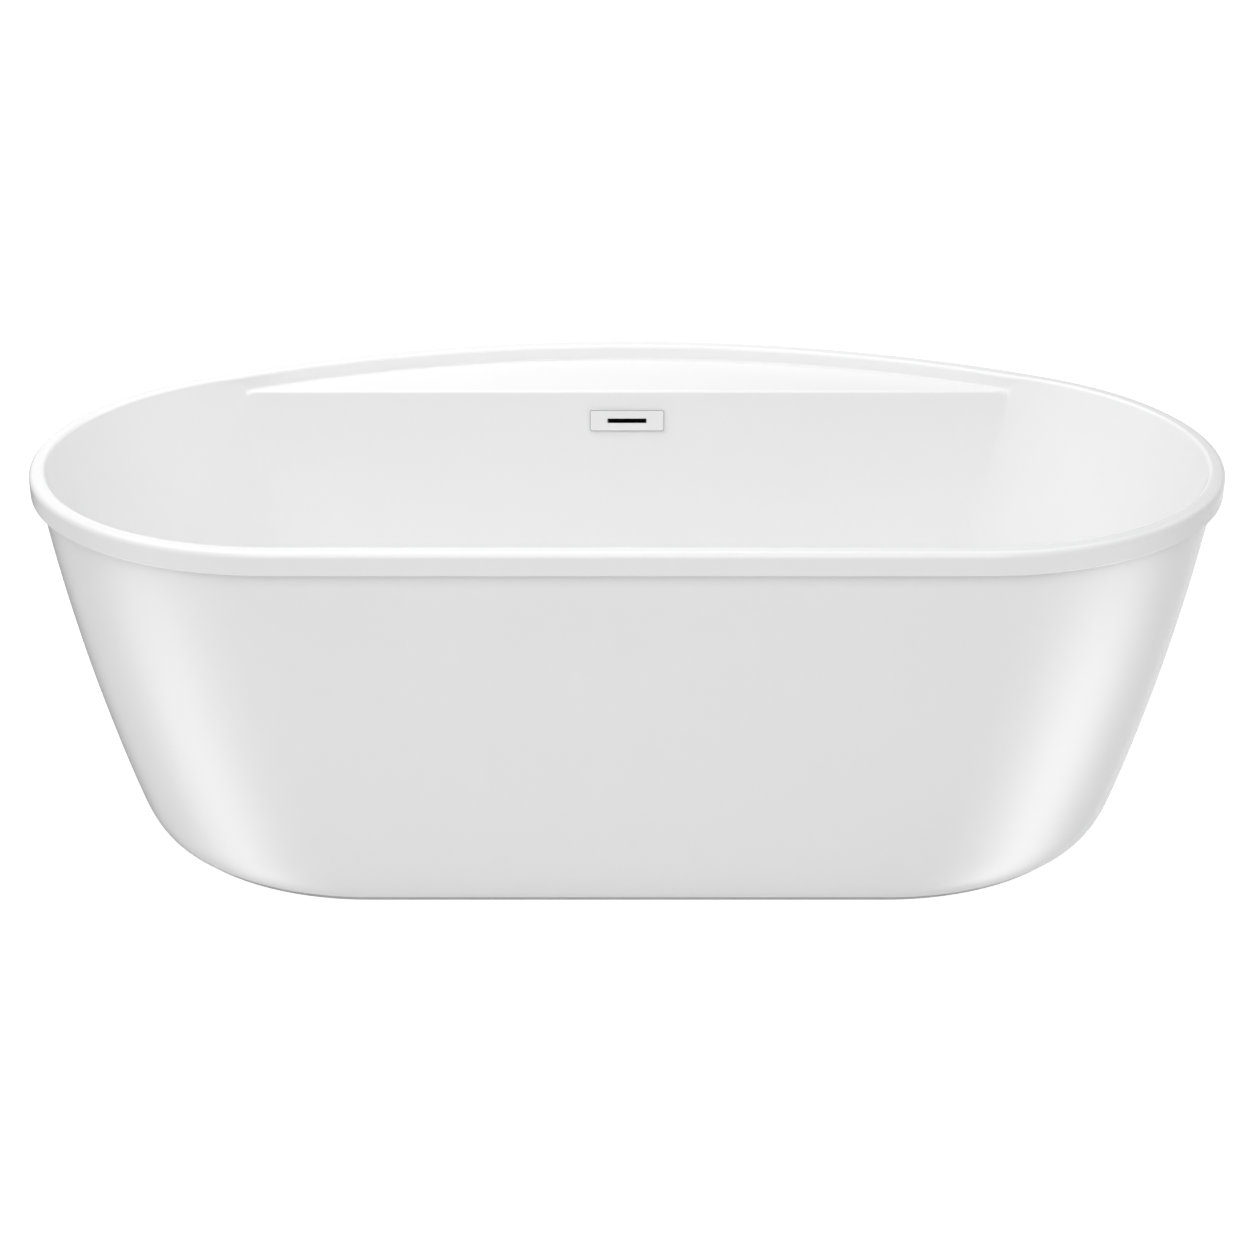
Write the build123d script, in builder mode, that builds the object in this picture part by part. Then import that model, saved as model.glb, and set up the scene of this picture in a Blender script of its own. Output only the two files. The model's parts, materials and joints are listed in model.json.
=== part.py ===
from build123d import *
from math import atan2, cos, pi, sin, sqrt, tan
import os

# Freestanding acrylic bathtub: an inner shell with a turned-down rim and a faucet ledge, a separate outer
# skirt, a board and two steel channels on four levelling feet, a toe-tap drain and a slot overflow.
# Millimetres, +Z up. The origin is on the floor at the middle of the tub, the long sides lie along X and the
# straight front faces -Y.

os.makedirs("parts", exist_ok=True)

# Overall sizes
LENGTH = 1676.0
WIDTH = 902.0
HEIGHT = 534.0
END_RADIUS = 385.5

# Rim and ledge
ACRYLIC = 6.0
RIM_WIDTH = 27.5
RIM_BAND = 31.5
RIM_OUTER_ROUND = 8.0
RIM_INNER_ROUND = 7.0
LEDGE_DROP = 23.0
LEDGE_DEPTH = 162.5
LEDGE_STEP = 0.8

# Basin below the ledge
FLOOR_HEIGHT = 115.0
BASIN_END_TAPER = 129.0
BASIN_SIDE_TAPER = 56.0
BASIN_CORNER = 100.0
FLOOR_CORNER = 85.0
FLOOR_ROUND = 60.0

# Skirt
SKIRT_WALL = 5.0
SKIRT_INSET = 10.0
SKIRT_BOW = 0.45
SKIRT_END_TAPER = 118.0
SKIRT_FRONT_TAPER = 21.0
SKIRT_BACK_TAPER = 47.5
SKIRT_EDGE_ROUND = 11.0
SKIRT_FLANGE = 60.0
ADHESIVE_HEIGHT = 8.0
ADHESIVE_LAP = 0.5
SEAL_HEIGHT = 5.0
SEAL_WIDTH = 16.0

# Base board and leg channels
BOARD_LENGTH = 1120.0
BOARD_WIDTH = 410.0
BOARD_THICK = 18.0
BOARD_CORNER = 60.0
BOARD_DRAIN_RADIUS = 50.0
BAR_SETOUT = 44.5
BAR_WIDTH = 40.0
BAR_HEIGHT = 30.0
BAR_STEEL = 2.5
BAR_END_GAP = 8.0
LEG_SCREW_SPACING = 110.0
LEG_SCREW_RADIUS = 2.2
LEG_SCREW_LENGTH = 14.0
SCREW_HEAD_RADIUS = 5.0
SCREW_HEAD_HEIGHT = 3.0
HOLE_CLEARANCE = 0.2

# Brackets from the channels to the foot of the skirt
BRACKET_STEEL = 3.0
BRACKET_WIDTH = 34.0
BRACKET_TOE = 34.0
BRACKET_SETBACK = 18.0
BRACKET_BOLT_RADIUS = 3.0
BRACKET_BOLT_HEX = 10.0
BRACKET_BOLT_HEAD = 4.0
BRACKET_NUT_HEIGHT = 5.0
BRACKET_SCREW_RADIUS = 2.2

# Levelling feet
FOOT_END_DISTANCE = 100.0
FOOT_SCREW_RADIUS = 6.0
FOOT_SCREW_TOP = 84.0
FOOT_HOLE_CLEARANCE = 0.5
FOOT_NUT_HEX = 19.0
FOOT_NUT_HEIGHT = 24.0
LOCK_NUT_HEIGHT = 8.0
FOOT_COLLAR_HEX = 17.0
FOOT_COLLAR_HEIGHT = 8.0
FOOT_COLLAR_GAP = 3.0
PAD_RADIUS = 23.0
PAD_HEIGHT = 14.0
PAD_SOLE = 6.0
PAD_TOP_RADIUS = 13.0
PAD_EDGE = 5.0
SHAFT_CLEARANCE = 0.05

# Drain and toe-tap stopper
DRAIN_TUBE_RADIUS = 22.0
DRAIN_BORE_RADIUS = 18.5
DRAIN_FLANGE_RADIUS = 36.0
DRAIN_FLANGE_THICK = 3.0
DRAIN_SEAT_CHAMFER = 2.0
DRAIN_EDGE_ROUND = 1.5
DRAIN_TUBE_LENGTH = 41.0
DRAIN_HOLE_CLEARANCE = 1.0
SPIDER_DROP = 18.0
SPIDER_THICK = 5.0
SPIDER_BAR = 6.0
SPIDER_HUB_RADIUS = 7.0
GASKET_RADIUS = 40.0
DRAIN_GASKET_THICK = 4.0
DRAIN_WASHER_THICK = 2.0
DRAIN_NUT_HEX = 66.0
DRAIN_NUT_HEIGHT = 12.0
CARTRIDGE_RADIUS = 6.5
CARTRIDGE_HEIGHT = 15.0
CARTRIDGE_SPIGOT_RADIUS = 4.0
CARTRIDGE_SPIGOT = 7.0
STEM_RADIUS = 3.0
STEM_END_GAP = 3.0
STEM_TOP_GAP = 1.5
STOPPER_RADIUS = 31.0
STOPPER_THICK = 5.5
STOPPER_ROUND = 3.0
STOPPER_BOSS_RADIUS = 7.0
STOPPER_BOSS_DROP = 7.5
STOPPER_SEAL_INNER = 24.0
STOPPER_SEAL_OUTER = 29.0
STOPPER_SEAL_THICK = 2.5

# Waste pipes
PIPE_RADIUS = 19.05
PIPE_WALL = 1.65
PIPE_CLEARANCE = 0.05
FITTING_RADIUS = 24.0
SOCKET_DEPTH = 26.0
FITTING_REACH = 60.0
CROSSOVER_HEIGHT = 54.0
TEE_BODY_RADIUS = 27.0
TEE_TOP = 90.0
TEE_THREAD = 18.0
TEE_BOTTOM = 22.0
TAIL_SOCKET = 14.0
TAIL_SPIGOT_RADIUS = 18.35
TAIL_END = 6.0
SLIP_NUT_HEX = 56.0
SLIP_NUT_LENGTH = 18.0
SLIP_NUT_LIP = 3.0
SLIP_WASHER_THICK = 3.0

# Slot overflow
OVERFLOW_DROP = 69.0
COVER_LENGTH = 116.0
COVER_HEIGHT = 35.0
COVER_DEPTH = 7.0
COVER_WALL = 2.0
COVER_ROUND = 1.5
SLOT_LENGTH = 61.0
SLOT_HEIGHT = 7.0
WINDOW_LENGTH = 60.0
WINDOW_HEIGHT = 20.0
WINDOW_ROUND = 4.0
OVERFLOW_BRACKET_LENGTH = 104.0
OVERFLOW_BRACKET_HEIGHT = 27.0
OVERFLOW_BRACKET_THICK = 2.0
OVERFLOW_LAP = 3.0
OVERFLOW_SCREW_X = 45.0
OVERFLOW_SCREW_RADIUS = 2.0
OVERFLOW_HEAD_RADIUS = 3.8
OVERFLOW_HEAD_HEIGHT = 2.0
OVERFLOW_FLANGE_LENGTH = 110.0
OVERFLOW_FLANGE_HEIGHT = 44.0
OVERFLOW_FLANGE_THICK = 5.0
OVERFLOW_GASKET_THICK = 3.0
OVERFLOW_BOX_LENGTH = 76.0
OVERFLOW_BOX_HEIGHT = 40.0
OVERFLOW_BOX_WALL = 4.0
OVERFLOW_BOX_ROUND = 6.0
PIPE_STANDOFF = 52.0
OVERFLOW_SOCKET_DROP = 55.0

# Plan of the rim: the line through the centres of the end arcs is AXIS_Y
AXIS_Y = END_RADIUS - WIDTH / 2
RIM_STRAIGHT = LENGTH / 2 - END_RADIUS
RIM_BACK = WIDTH - END_RADIUS

# Heights
RIM_UNDERSIDE = HEIGHT - ACRYLIC
BAND_BOTTOM = HEIGHT - RIM_BAND
LEDGE_Z = HEIGHT - LEDGE_DROP
FLOOR_UNDERSIDE = FLOOR_HEIGHT - ACRYLIC
BOARD_Z = FLOOR_UNDERSIDE - BOARD_THICK
BAR_BOTTOM = BOARD_Z - BAR_HEIGHT
BAR_WEB_Z = BOARD_Z - BAR_STEEL
SKIRT_TOP = RIM_UNDERSIDE - ADHESIVE_HEIGHT
SKIRT_BOTTOM = SEAL_HEIGHT
SKIRT_FLANGE_TOP = SKIRT_BOTTOM + SKIRT_WALL

# Plan of the foot of the skirt
FOOT_RADIUS = END_RADIUS - SKIRT_INSET - SKIRT_FRONT_TAPER
FOOT_STRAIGHT = LENGTH / 2 - SKIRT_INSET - SKIRT_END_TAPER - FOOT_RADIUS
FOOT_BACK = RIM_BACK - SKIRT_INSET - SKIRT_BACK_TAPER


def between(start, end, share):
    """The value a share of the way from start to end."""
    return start + (end - start) * share


def bowed_arc(half_straight, end_radius, back_reach):
    """Radius of the back arc that is tangent to both end arcs, and how far its centre is below AXIS_Y."""
    bulge = back_reach - end_radius
    drop = (half_straight**2 - bulge**2) / (2 * bulge)
    return back_reach + drop, drop


# Plan of the basin at the ledge and at the floor: its end arcs touch the front and the pocket's back arc, and
# are large enough to meet the eased back corners
BASIN_FRONT = END_RADIUS - RIM_WIDTH - LEDGE_STEP
BASIN_BACK = RIM_BACK - RIM_WIDTH - LEDGE_DEPTH
BASIN_RADIUS = max(BASIN_FRONT, (BASIN_FRONT + BASIN_BACK + RIM_WIDTH) / 2)
BASIN_AXIS_Y = AXIS_Y + BASIN_RADIUS - BASIN_FRONT
POCKET_ARC, POCKET_DROP = bowed_arc(RIM_STRAIGHT, BASIN_FRONT, RIM_BACK - RIM_WIDTH - LEDGE_STEP)
BASIN_STRAIGHT = sqrt((POCKET_ARC - BASIN_RADIUS) ** 2 - (POCKET_DROP + BASIN_RADIUS - BASIN_FRONT) ** 2)
FLOOR_RADIUS = BASIN_RADIUS - BASIN_SIDE_TAPER
FLOOR_STRAIGHT = BASIN_STRAIGHT + BASIN_RADIUS - BASIN_END_TAPER - FLOOR_RADIUS
BASIN_BACK_Y = AXIS_Y + BASIN_BACK
FLOOR_BACK_Y = BASIN_BACK_Y - BASIN_SIDE_TAPER
FLOOR_MIDDLE = (BASIN_AXIS_Y - FLOOR_RADIUS + FLOOR_BACK_Y) / 2


def bowed_section(z, half_straight, end_radius, back_reach):
    """Flat face with a straight front, round ends and one long back arc, all tangent."""
    back_radius, drop = bowed_arc(half_straight, end_radius, back_reach)
    lean = atan2(half_straight, drop)
    front = (half_straight, AXIS_Y - end_radius)
    side = (half_straight + end_radius * cos(lean / 2), AXIS_Y - end_radius * sin(lean / 2))
    meet = (back_radius * sin(lean), AXIS_Y - drop + back_radius * cos(lean))
    with BuildSketch(Plane.XY.offset(z)) as section:
        with BuildLine():
            Line((-front[0], front[1]), front)
            ThreePointArc(front, side, meet)
            ThreePointArc(meet, (0, AXIS_Y + back_reach), (-meet[0], meet[1]))
            ThreePointArc((-meet[0], meet[1]), (-side[0], side[1]), (-front[0], front[1]))
        make_face()
    return section.sketch


def rim_section(z, inset):
    """Plan of the rim, moved inwards by inset."""
    return bowed_section(z, RIM_STRAIGHT, END_RADIUS - inset, RIM_BACK - inset)


def skirt_plan(z):
    """Half straight, end radius and back reach of the outside of the skirt at one height."""
    fall = (SKIRT_TOP - z) / (SKIRT_TOP - SKIRT_BOTTOM)
    share = fall - SKIRT_BOW * fall * (1 - fall)
    half_straight = between(RIM_STRAIGHT, FOOT_STRAIGHT, share)
    end_radius = between(END_RADIUS - SKIRT_INSET, FOOT_RADIUS, share)
    back_reach = between(RIM_BACK - SKIRT_INSET, FOOT_BACK, share)
    return half_straight, end_radius, back_reach


def skirt_section(z, inset):
    """Plan of the skirt at one height, moved inwards by inset."""
    half_straight, end_radius, back_reach = skirt_plan(z)
    return bowed_section(z, half_straight, end_radius - inset, back_reach - inset)


def skirt_back_y(x, z):
    """Y of the outside of the skirt's back at one x and height."""
    back_radius, drop = bowed_arc(*skirt_plan(z))
    return AXIS_Y - drop + sqrt(back_radius**2 - x**2)


def basin_section(z, grow):
    """Plan of the basin below the ledge: straight front and back, round ends and eased back corners."""
    share = (LEDGE_Z - z) / (LEDGE_Z - FLOOR_HEIGHT)
    half_straight = between(BASIN_STRAIGHT, FLOOR_STRAIGHT, share)
    end_radius = between(BASIN_RADIUS, FLOOR_RADIUS, share) + grow
    back = between(BASIN_BACK_Y, FLOOR_BACK_Y, share) - BASIN_AXIS_Y + grow
    corner = between(BASIN_CORNER, FLOOR_CORNER, share) + grow
    corner_y = back - corner
    corner_x = half_straight + sqrt((end_radius - corner) ** 2 - corner_y**2)
    turn = atan2(corner_y, corner_x - half_straight)
    end_middle = (turn - pi / 2) / 2
    corner_middle = (turn + pi / 2) / 2
    front = (half_straight, BASIN_AXIS_Y - end_radius)
    side = (half_straight + end_radius * cos(end_middle), BASIN_AXIS_Y + end_radius * sin(end_middle))
    meet = (half_straight + end_radius * cos(turn), BASIN_AXIS_Y + end_radius * sin(turn))
    ease = (corner_x + corner * cos(corner_middle), BASIN_AXIS_Y + corner_y + corner * sin(corner_middle))
    rear = (corner_x, BASIN_AXIS_Y + back)
    with BuildSketch(Plane.XY.offset(z)) as section:
        with BuildLine():
            Line((-front[0], front[1]), front)
            ThreePointArc(front, side, meet)
            ThreePointArc(meet, ease, rear)
            Line(rear, (-rear[0], rear[1]))
            ThreePointArc((-rear[0], rear[1]), (-ease[0], ease[1]), (-meet[0], meet[1]))
            ThreePointArc((-meet[0], meet[1]), (-side[0], side[1]), (-front[0], front[1]))
        make_face()
    return section.sketch


def disc(plane, radius):
    """Round face at the origin of a plane."""
    with BuildSketch(plane) as face:
        Circle(radius)
    return face.sketch


def ring(plane, outer_radius, inner_radius):
    """Ring-shaped face at the origin of a plane."""
    with BuildSketch(plane) as face:
        Circle(outer_radius)
        Circle(inner_radius, mode=Mode.SUBTRACT)
    return face.sketch


def drain_plane(z):
    """Level plane on the axis of the drain."""
    return Plane((DRAIN_X, DRAIN_Y, z))


def riser_plane(z):
    """Level plane on the axis of the overflow pipe."""
    return Plane((DRAIN_X, PIPE_Y, z))


def crossover_plane(y, direction):
    """Upright plane on the axis of the crossover pipe, facing along Y by direction."""
    return Plane((DRAIN_X, y, CROSSOVER_HEIGHT), (1, 0, 0), (0, direction, 0))


# Overflow: planes on the inner and outer face of the leaning back wall
BACK_LEAN = atan2(BASIN_SIDE_TAPER, LEDGE_Z - FLOOR_HEIGHT)
OVERFLOW_Z = HEIGHT - OVERFLOW_DROP
OVERFLOW_Y = BASIN_BACK_Y - (LEDGE_Z - OVERFLOW_Z) * tan(BACK_LEAN)
WALL_THICK = ACRYLIC * cos(BACK_LEAN)
WALL_INSIDE = Plane((0, OVERFLOW_Y, OVERFLOW_Z), (1, 0, 0), (0, -cos(BACK_LEAN), sin(BACK_LEAN)))
WALL_OUTSIDE = Plane(WALL_INSIDE.offset(-WALL_THICK).origin, (1, 0, 0), -WALL_INSIDE.z_dir)
FLANGE_PLANE = WALL_OUTSIDE.offset(OVERFLOW_GASKET_THICK)
OVERFLOW_SCREWS = [(-OVERFLOW_SCREW_X, 0), (OVERFLOW_SCREW_X, 0)]
WALL_WINDOW_LENGTH = OVERFLOW_BRACKET_LENGTH - 2 * OVERFLOW_LAP
PIPE_Y = OVERFLOW_Y + ACRYLIC + PIPE_STANDOFF

# Drain: on the middle line of the basin floor
DRAIN_X = 0.0
DRAIN_Y = FLOOR_MIDDLE
DRAIN_TOP = FLOOR_HEIGHT + DRAIN_FLANGE_THICK
DRAIN_TUBE_END = FLOOR_HEIGHT - DRAIN_TUBE_LENGTH
SPIDER_Z = FLOOR_HEIGHT - SPIDER_DROP - SPIDER_THICK
CARTRIDGE_Z = SPIDER_Z + SPIDER_THICK
DRAIN_GASKET_Z = FLOOR_UNDERSIDE - DRAIN_GASKET_THICK
DRAIN_WASHER_Z = DRAIN_GASKET_Z - DRAIN_WASHER_THICK
STOPPER_Z = DRAIN_TOP + STOPPER_SEAL_THICK
STOPPER_BOSS_Z = STOPPER_Z - STOPPER_BOSS_DROP
STEM_BOTTOM = CARTRIDGE_Z + STEM_END_GAP
STEM_TOP = STOPPER_Z - STEM_TOP_GAP

# Waste pipes: the crossover runs from the tee to the elbow under the overflow
PIPE_BORE = PIPE_RADIUS - PIPE_WALL
PIPE_SOCKET = PIPE_RADIUS + PIPE_CLEARANCE
TEE_MOUTH_Y = DRAIN_Y + FITTING_REACH
ELBOW_MOUTH_Y = PIPE_Y - FITTING_REACH
ELBOW_TOP = CROSSOVER_HEIGHT + FITTING_REACH
OVERFLOW_SOCKET_Z = OVERFLOW_Z - OVERFLOW_SOCKET_DROP
OVERFLOW_BOX_DEPTH = PIPE_STANDOFF + FITTING_RADIUS
OVERFLOW_BOX_MIDDLE_Z = OVERFLOW_Z - PIPE_STANDOFF * tan(BACK_LEAN)
SLIP_JOINTS = [
    crossover_plane(TEE_MOUTH_Y, 1),
    crossover_plane(ELBOW_MOUTH_Y, -1),
    riser_plane(ELBOW_TOP),
    Plane((DRAIN_X, PIPE_Y, OVERFLOW_SOCKET_Z), (1, 0, 0), (0, 0, -1)),
]

# Leg channels run from the front of the skirt to its back, just beyond the straight part of its foot
BAR_X = FOOT_STRAIGHT + BAR_SETOUT
BAR_FRONT = AXIS_Y - FOOT_RADIUS + SKIRT_WALL + BAR_END_GAP
BAR_OUTER_X = BAR_X + BAR_WIDTH / 2
BAR_BACK = skirt_back_y(BAR_OUTER_X + BRACKET_TOE, SKIRT_FLANGE_TOP) - SKIRT_WALL - BAR_END_GAP
BAR_LENGTH = BAR_BACK - BAR_FRONT
BAR_MIDDLE = (BAR_FRONT + BAR_BACK) / 2
FEET = {
    "front_left": (-BAR_X, BAR_FRONT + FOOT_END_DISTANCE),
    "front_right": (BAR_X, BAR_FRONT + FOOT_END_DISTANCE),
    "back_left": (-BAR_X, BAR_BACK - FOOT_END_DISTANCE),
    "back_right": (BAR_X, BAR_BACK - FOOT_END_DISTANCE),
}
LEG_SCREW_Y = [FLOOR_MIDDLE + LEG_SCREW_SPACING * step for step in (-1.5, -0.5, 0.5, 1.5)]
LEG_SCREW_PLACES = [(side * BAR_X, y) for side in (-1, 1) for y in LEG_SCREW_Y]
BRACKET_Y = (
    BAR_FRONT + BRACKET_SETBACK + BRACKET_WIDTH / 2,
    BAR_BACK - BRACKET_SETBACK - BRACKET_WIDTH / 2,
)
BRACKET_PLACES = [(side, y) for side in (-1, 1) for y in BRACKET_Y]
BRACKET_SCREW_X = BAR_OUTER_X + (BRACKET_STEEL + BRACKET_TOE) / 2
BRACKET_SCREW_PLACES = [(side * BRACKET_SCREW_X, y) for side, y in BRACKET_PLACES]
BOLT_Z = (BAR_BOTTOM + BAR_WEB_Z) / 2
FOOT_NUT_Z = BAR_WEB_Z - FOOT_NUT_HEIGHT
LOCK_NUT_Z = FOOT_NUT_Z - LOCK_NUT_HEIGHT
FOOT_SHAFT_HOLE = FOOT_SCREW_RADIUS + SHAFT_CLEARANCE


# Basin: rim cap and band, ledge tray and tapered bowl, then hollowed
with BuildPart() as bowl_outside:
    loft([basin_section(LEDGE_Z, ACRYLIC), basin_section(FLOOR_UNDERSIDE, ACRYLIC)], ruled=True)
    fillet(bowl_outside.edges().group_by(Axis.Z)[0], FLOOR_ROUND + ACRYLIC)

with BuildPart() as bowl_inside:
    loft([basin_section(LEDGE_Z, 0), basin_section(FLOOR_HEIGHT, 0)], ruled=True)
    fillet(bowl_inside.edges().group_by(Axis.Z)[0], FLOOR_ROUND)

with BuildPart() as basin:
    extrude(rim_section(BAND_BOTTOM, 0), amount=RIM_BAND)
    extrude(rim_section(BAND_BOTTOM, ACRYLIC), amount=RIM_BAND - ACRYLIC, mode=Mode.SUBTRACT)
    extrude(rim_section(LEDGE_Z - ACRYLIC, RIM_WIDTH - ACRYLIC), amount=LEDGE_DROP + ACRYLIC)
    add(bowl_outside.part)
    extrude(rim_section(LEDGE_Z, RIM_WIDTH), amount=LEDGE_DROP, mode=Mode.SUBTRACT)
    add(bowl_inside.part, mode=Mode.SUBTRACT)
    rim_top = basin.faces().sort_by(Axis.Z)[-1]
    fillet(rim_top.outer_wire().edges(), RIM_OUTER_ROUND)
    rim_top = basin.faces().filter_by(Plane.XY).sort_by(Axis.Z)[-1]
    fillet(rim_top.inner_wires()[0].edges(), RIM_INNER_ROUND)
    drain_hole = disc(drain_plane(FLOOR_UNDERSIDE), DRAIN_TUBE_RADIUS + DRAIN_HOLE_CLEARANCE)
    extrude(drain_hole, amount=ACRYLIC, mode=Mode.SUBTRACT)
    with BuildSketch(WALL_INSIDE.offset(WALL_THICK)):
        RectangleRounded(WALL_WINDOW_LENGTH, WINDOW_HEIGHT, WINDOW_ROUND)
    extrude(amount=-3 * WALL_THICK, mode=Mode.SUBTRACT)

# Skirt: bowed shell with a rounded bottom edge and a flat flange on the floor seal
SKIRT_MIDDLE = (SKIRT_TOP + SKIRT_BOTTOM) / 2
with BuildPart() as skirt_outside:
    loft([skirt_section(z, 0) for z in (SKIRT_TOP, SKIRT_MIDDLE, SKIRT_BOTTOM)])
    fillet(skirt_outside.edges().group_by(Axis.Z)[0], SKIRT_EDGE_ROUND)

with BuildPart() as skirt_inside:
    loft([skirt_section(z, SKIRT_WALL) for z in (SKIRT_TOP, SKIRT_MIDDLE, SKIRT_FLANGE_TOP)])
    fillet(skirt_inside.edges().group_by(Axis.Z)[0], SKIRT_EDGE_ROUND - SKIRT_WALL)

with BuildPart() as skirt:
    add(skirt_outside.part)
    add(skirt_inside.part, mode=Mode.SUBTRACT)
    extrude(skirt_section(SKIRT_BOTTOM, SKIRT_FLANGE), amount=SKIRT_WALL, mode=Mode.SUBTRACT)
    with BuildSketch(Plane.XY.offset(SKIRT_BOTTOM)):
        with Locations(*BRACKET_SCREW_PLACES):
            Circle(BRACKET_SCREW_RADIUS + SHAFT_CLEARANCE)
    extrude(amount=SKIRT_WALL, mode=Mode.SUBTRACT)

# Adhesive bead between the top edge of the skirt and the underside of the rim
BEAD_INNER = SKIRT_INSET + SKIRT_WALL + ADHESIVE_LAP
with BuildPart() as rim_adhesive:
    extrude(rim_section(SKIRT_TOP, SKIRT_INSET - ADHESIVE_LAP), amount=ADHESIVE_HEIGHT)
    extrude(rim_section(SKIRT_TOP, BEAD_INNER), amount=ADHESIVE_HEIGHT, mode=Mode.SUBTRACT)

# Seal strip on the floor under the flange of the skirt
SEAL_RADIUS = FOOT_RADIUS - SKIRT_EDGE_ROUND
SEAL_BACK = FOOT_BACK - SKIRT_EDGE_ROUND
with BuildPart() as floor_seal:
    extrude(bowed_section(0, FOOT_STRAIGHT, SEAL_RADIUS, SEAL_BACK), amount=SEAL_HEIGHT)
    seal_inside = bowed_section(0, FOOT_STRAIGHT, SEAL_RADIUS - SEAL_WIDTH, SEAL_BACK - SEAL_WIDTH)
    extrude(seal_inside, amount=SEAL_HEIGHT, mode=Mode.SUBTRACT)

# Board under the basin floor
with BuildPart() as base_board:
    with BuildSketch(Plane.XY.offset(BOARD_Z)):
        with Locations((0, FLOOR_MIDDLE)):
            RectangleRounded(BOARD_LENGTH, BOARD_WIDTH, BOARD_CORNER)
        with Locations((DRAIN_X, DRAIN_Y)):
            Circle(BOARD_DRAIN_RADIUS, mode=Mode.SUBTRACT)
    extrude(amount=BOARD_THICK)
    with BuildSketch(Plane.XY.offset(BOARD_Z)):
        with Locations(*LEG_SCREW_PLACES):
            Circle(LEG_SCREW_RADIUS + SHAFT_CLEARANCE)
    extrude(amount=LEG_SCREW_LENGTH, mode=Mode.SUBTRACT)

# Leg channels, open downwards
leg_bars = {}
for bar_name, side in (("leg_bar_left", -1), ("leg_bar_right", 1)):
    with BuildPart() as leg_bar:
        with BuildSketch(Plane.XY.offset(BAR_BOTTOM)):
            with Locations((side * BAR_X, BAR_MIDDLE)):
                Rectangle(BAR_WIDTH, BAR_LENGTH)
        extrude(amount=BAR_HEIGHT)
        with BuildSketch(Plane.XY.offset(BAR_BOTTOM)):
            with Locations((side * BAR_X, BAR_MIDDLE)):
                Rectangle(BAR_WIDTH - 2 * BAR_STEEL, BAR_LENGTH)
        extrude(amount=BAR_HEIGHT - BAR_STEEL, mode=Mode.SUBTRACT)
        with BuildSketch(Plane.XY.offset(BAR_WEB_Z)):
            with Locations(*[place for place in FEET.values() if place[0] * side > 0]):
                Circle(FOOT_SCREW_RADIUS + FOOT_HOLE_CLEARANCE)
            with Locations(*[place for place in LEG_SCREW_PLACES if place[0] * side > 0]):
                Circle(LEG_SCREW_RADIUS + HOLE_CLEARANCE)
        extrude(amount=BAR_STEEL, mode=Mode.SUBTRACT)
        with BuildSketch(Plane.YZ.offset(side * BAR_OUTER_X)):
            with Locations(*[(y, BOLT_Z) for y in BRACKET_Y]):
                Circle(BRACKET_BOLT_RADIUS + HOLE_CLEARANCE)
        extrude(amount=-side * BAR_STEEL, mode=Mode.SUBTRACT)
    leg_bars[bar_name] = leg_bar

# Screws through the channel webs into the board
with BuildPart() as leg_screws:
    with BuildSketch(Plane.XY.offset(BAR_WEB_Z)):
        with Locations(*LEG_SCREW_PLACES):
            Circle(SCREW_HEAD_RADIUS)
    extrude(amount=-SCREW_HEAD_HEIGHT)
    with BuildSketch(Plane.XY.offset(BAR_WEB_Z)):
        with Locations(*LEG_SCREW_PLACES):
            Circle(LEG_SCREW_RADIUS)
    extrude(amount=BAR_STEEL + LEG_SCREW_LENGTH)

# Angle brackets that stand on the flange of the skirt beside the channels
with BuildPart() as skirt_brackets:
    for side, y in BRACKET_PLACES:
        with BuildSketch(Plane.XZ.offset(-y)):
            with BuildLine():
                Polyline(
                    (side * BAR_OUTER_X, SKIRT_FLANGE_TOP),
                    (side * (BAR_OUTER_X + BRACKET_TOE), SKIRT_FLANGE_TOP),
                    (side * (BAR_OUTER_X + BRACKET_TOE), SKIRT_FLANGE_TOP + BRACKET_STEEL),
                    (side * (BAR_OUTER_X + BRACKET_STEEL), SKIRT_FLANGE_TOP + BRACKET_STEEL),
                    (side * (BAR_OUTER_X + BRACKET_STEEL), BAR_WEB_Z),
                    (side * BAR_OUTER_X, BAR_WEB_Z),
                    close=True,
                )
            make_face()
        extrude(amount=BRACKET_WIDTH / 2, both=True)
        with BuildSketch(Plane.YZ.offset(side * BAR_OUTER_X)):
            with Locations((y, BOLT_Z)):
                Circle(BRACKET_BOLT_RADIUS + HOLE_CLEARANCE)
        extrude(amount=side * BRACKET_STEEL, mode=Mode.SUBTRACT)
    with BuildSketch(Plane.XY.offset(SKIRT_FLANGE_TOP)):
        with Locations(*BRACKET_SCREW_PLACES):
            Circle(BRACKET_SCREW_RADIUS + HOLE_CLEARANCE)
    extrude(amount=BRACKET_STEEL, mode=Mode.SUBTRACT)

# Bolts with nuts through the brackets and the channel sides
with BuildPart() as bracket_bolts:
    for side, y in BRACKET_PLACES:
        with BuildSketch(Plane.YZ.offset(side * (BAR_OUTER_X + BRACKET_STEEL))):
            with Locations((y, BOLT_Z)):
                RegularPolygon(BRACKET_BOLT_HEX / 2, 6, major_radius=False)
        extrude(amount=side * BRACKET_BOLT_HEAD)
        with BuildSketch(Plane.YZ.offset(side * (BAR_OUTER_X + BRACKET_STEEL))):
            with Locations((y, BOLT_Z)):
                Circle(BRACKET_BOLT_RADIUS)
        extrude(amount=-side * (BRACKET_STEEL + BAR_STEEL + BRACKET_NUT_HEIGHT))
        with BuildSketch(Plane.YZ.offset(side * (BAR_OUTER_X - BAR_STEEL))):
            with Locations((y, BOLT_Z)):
                RegularPolygon(BRACKET_BOLT_HEX / 2, 6, major_radius=False)
        extrude(amount=-side * BRACKET_NUT_HEIGHT)

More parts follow.
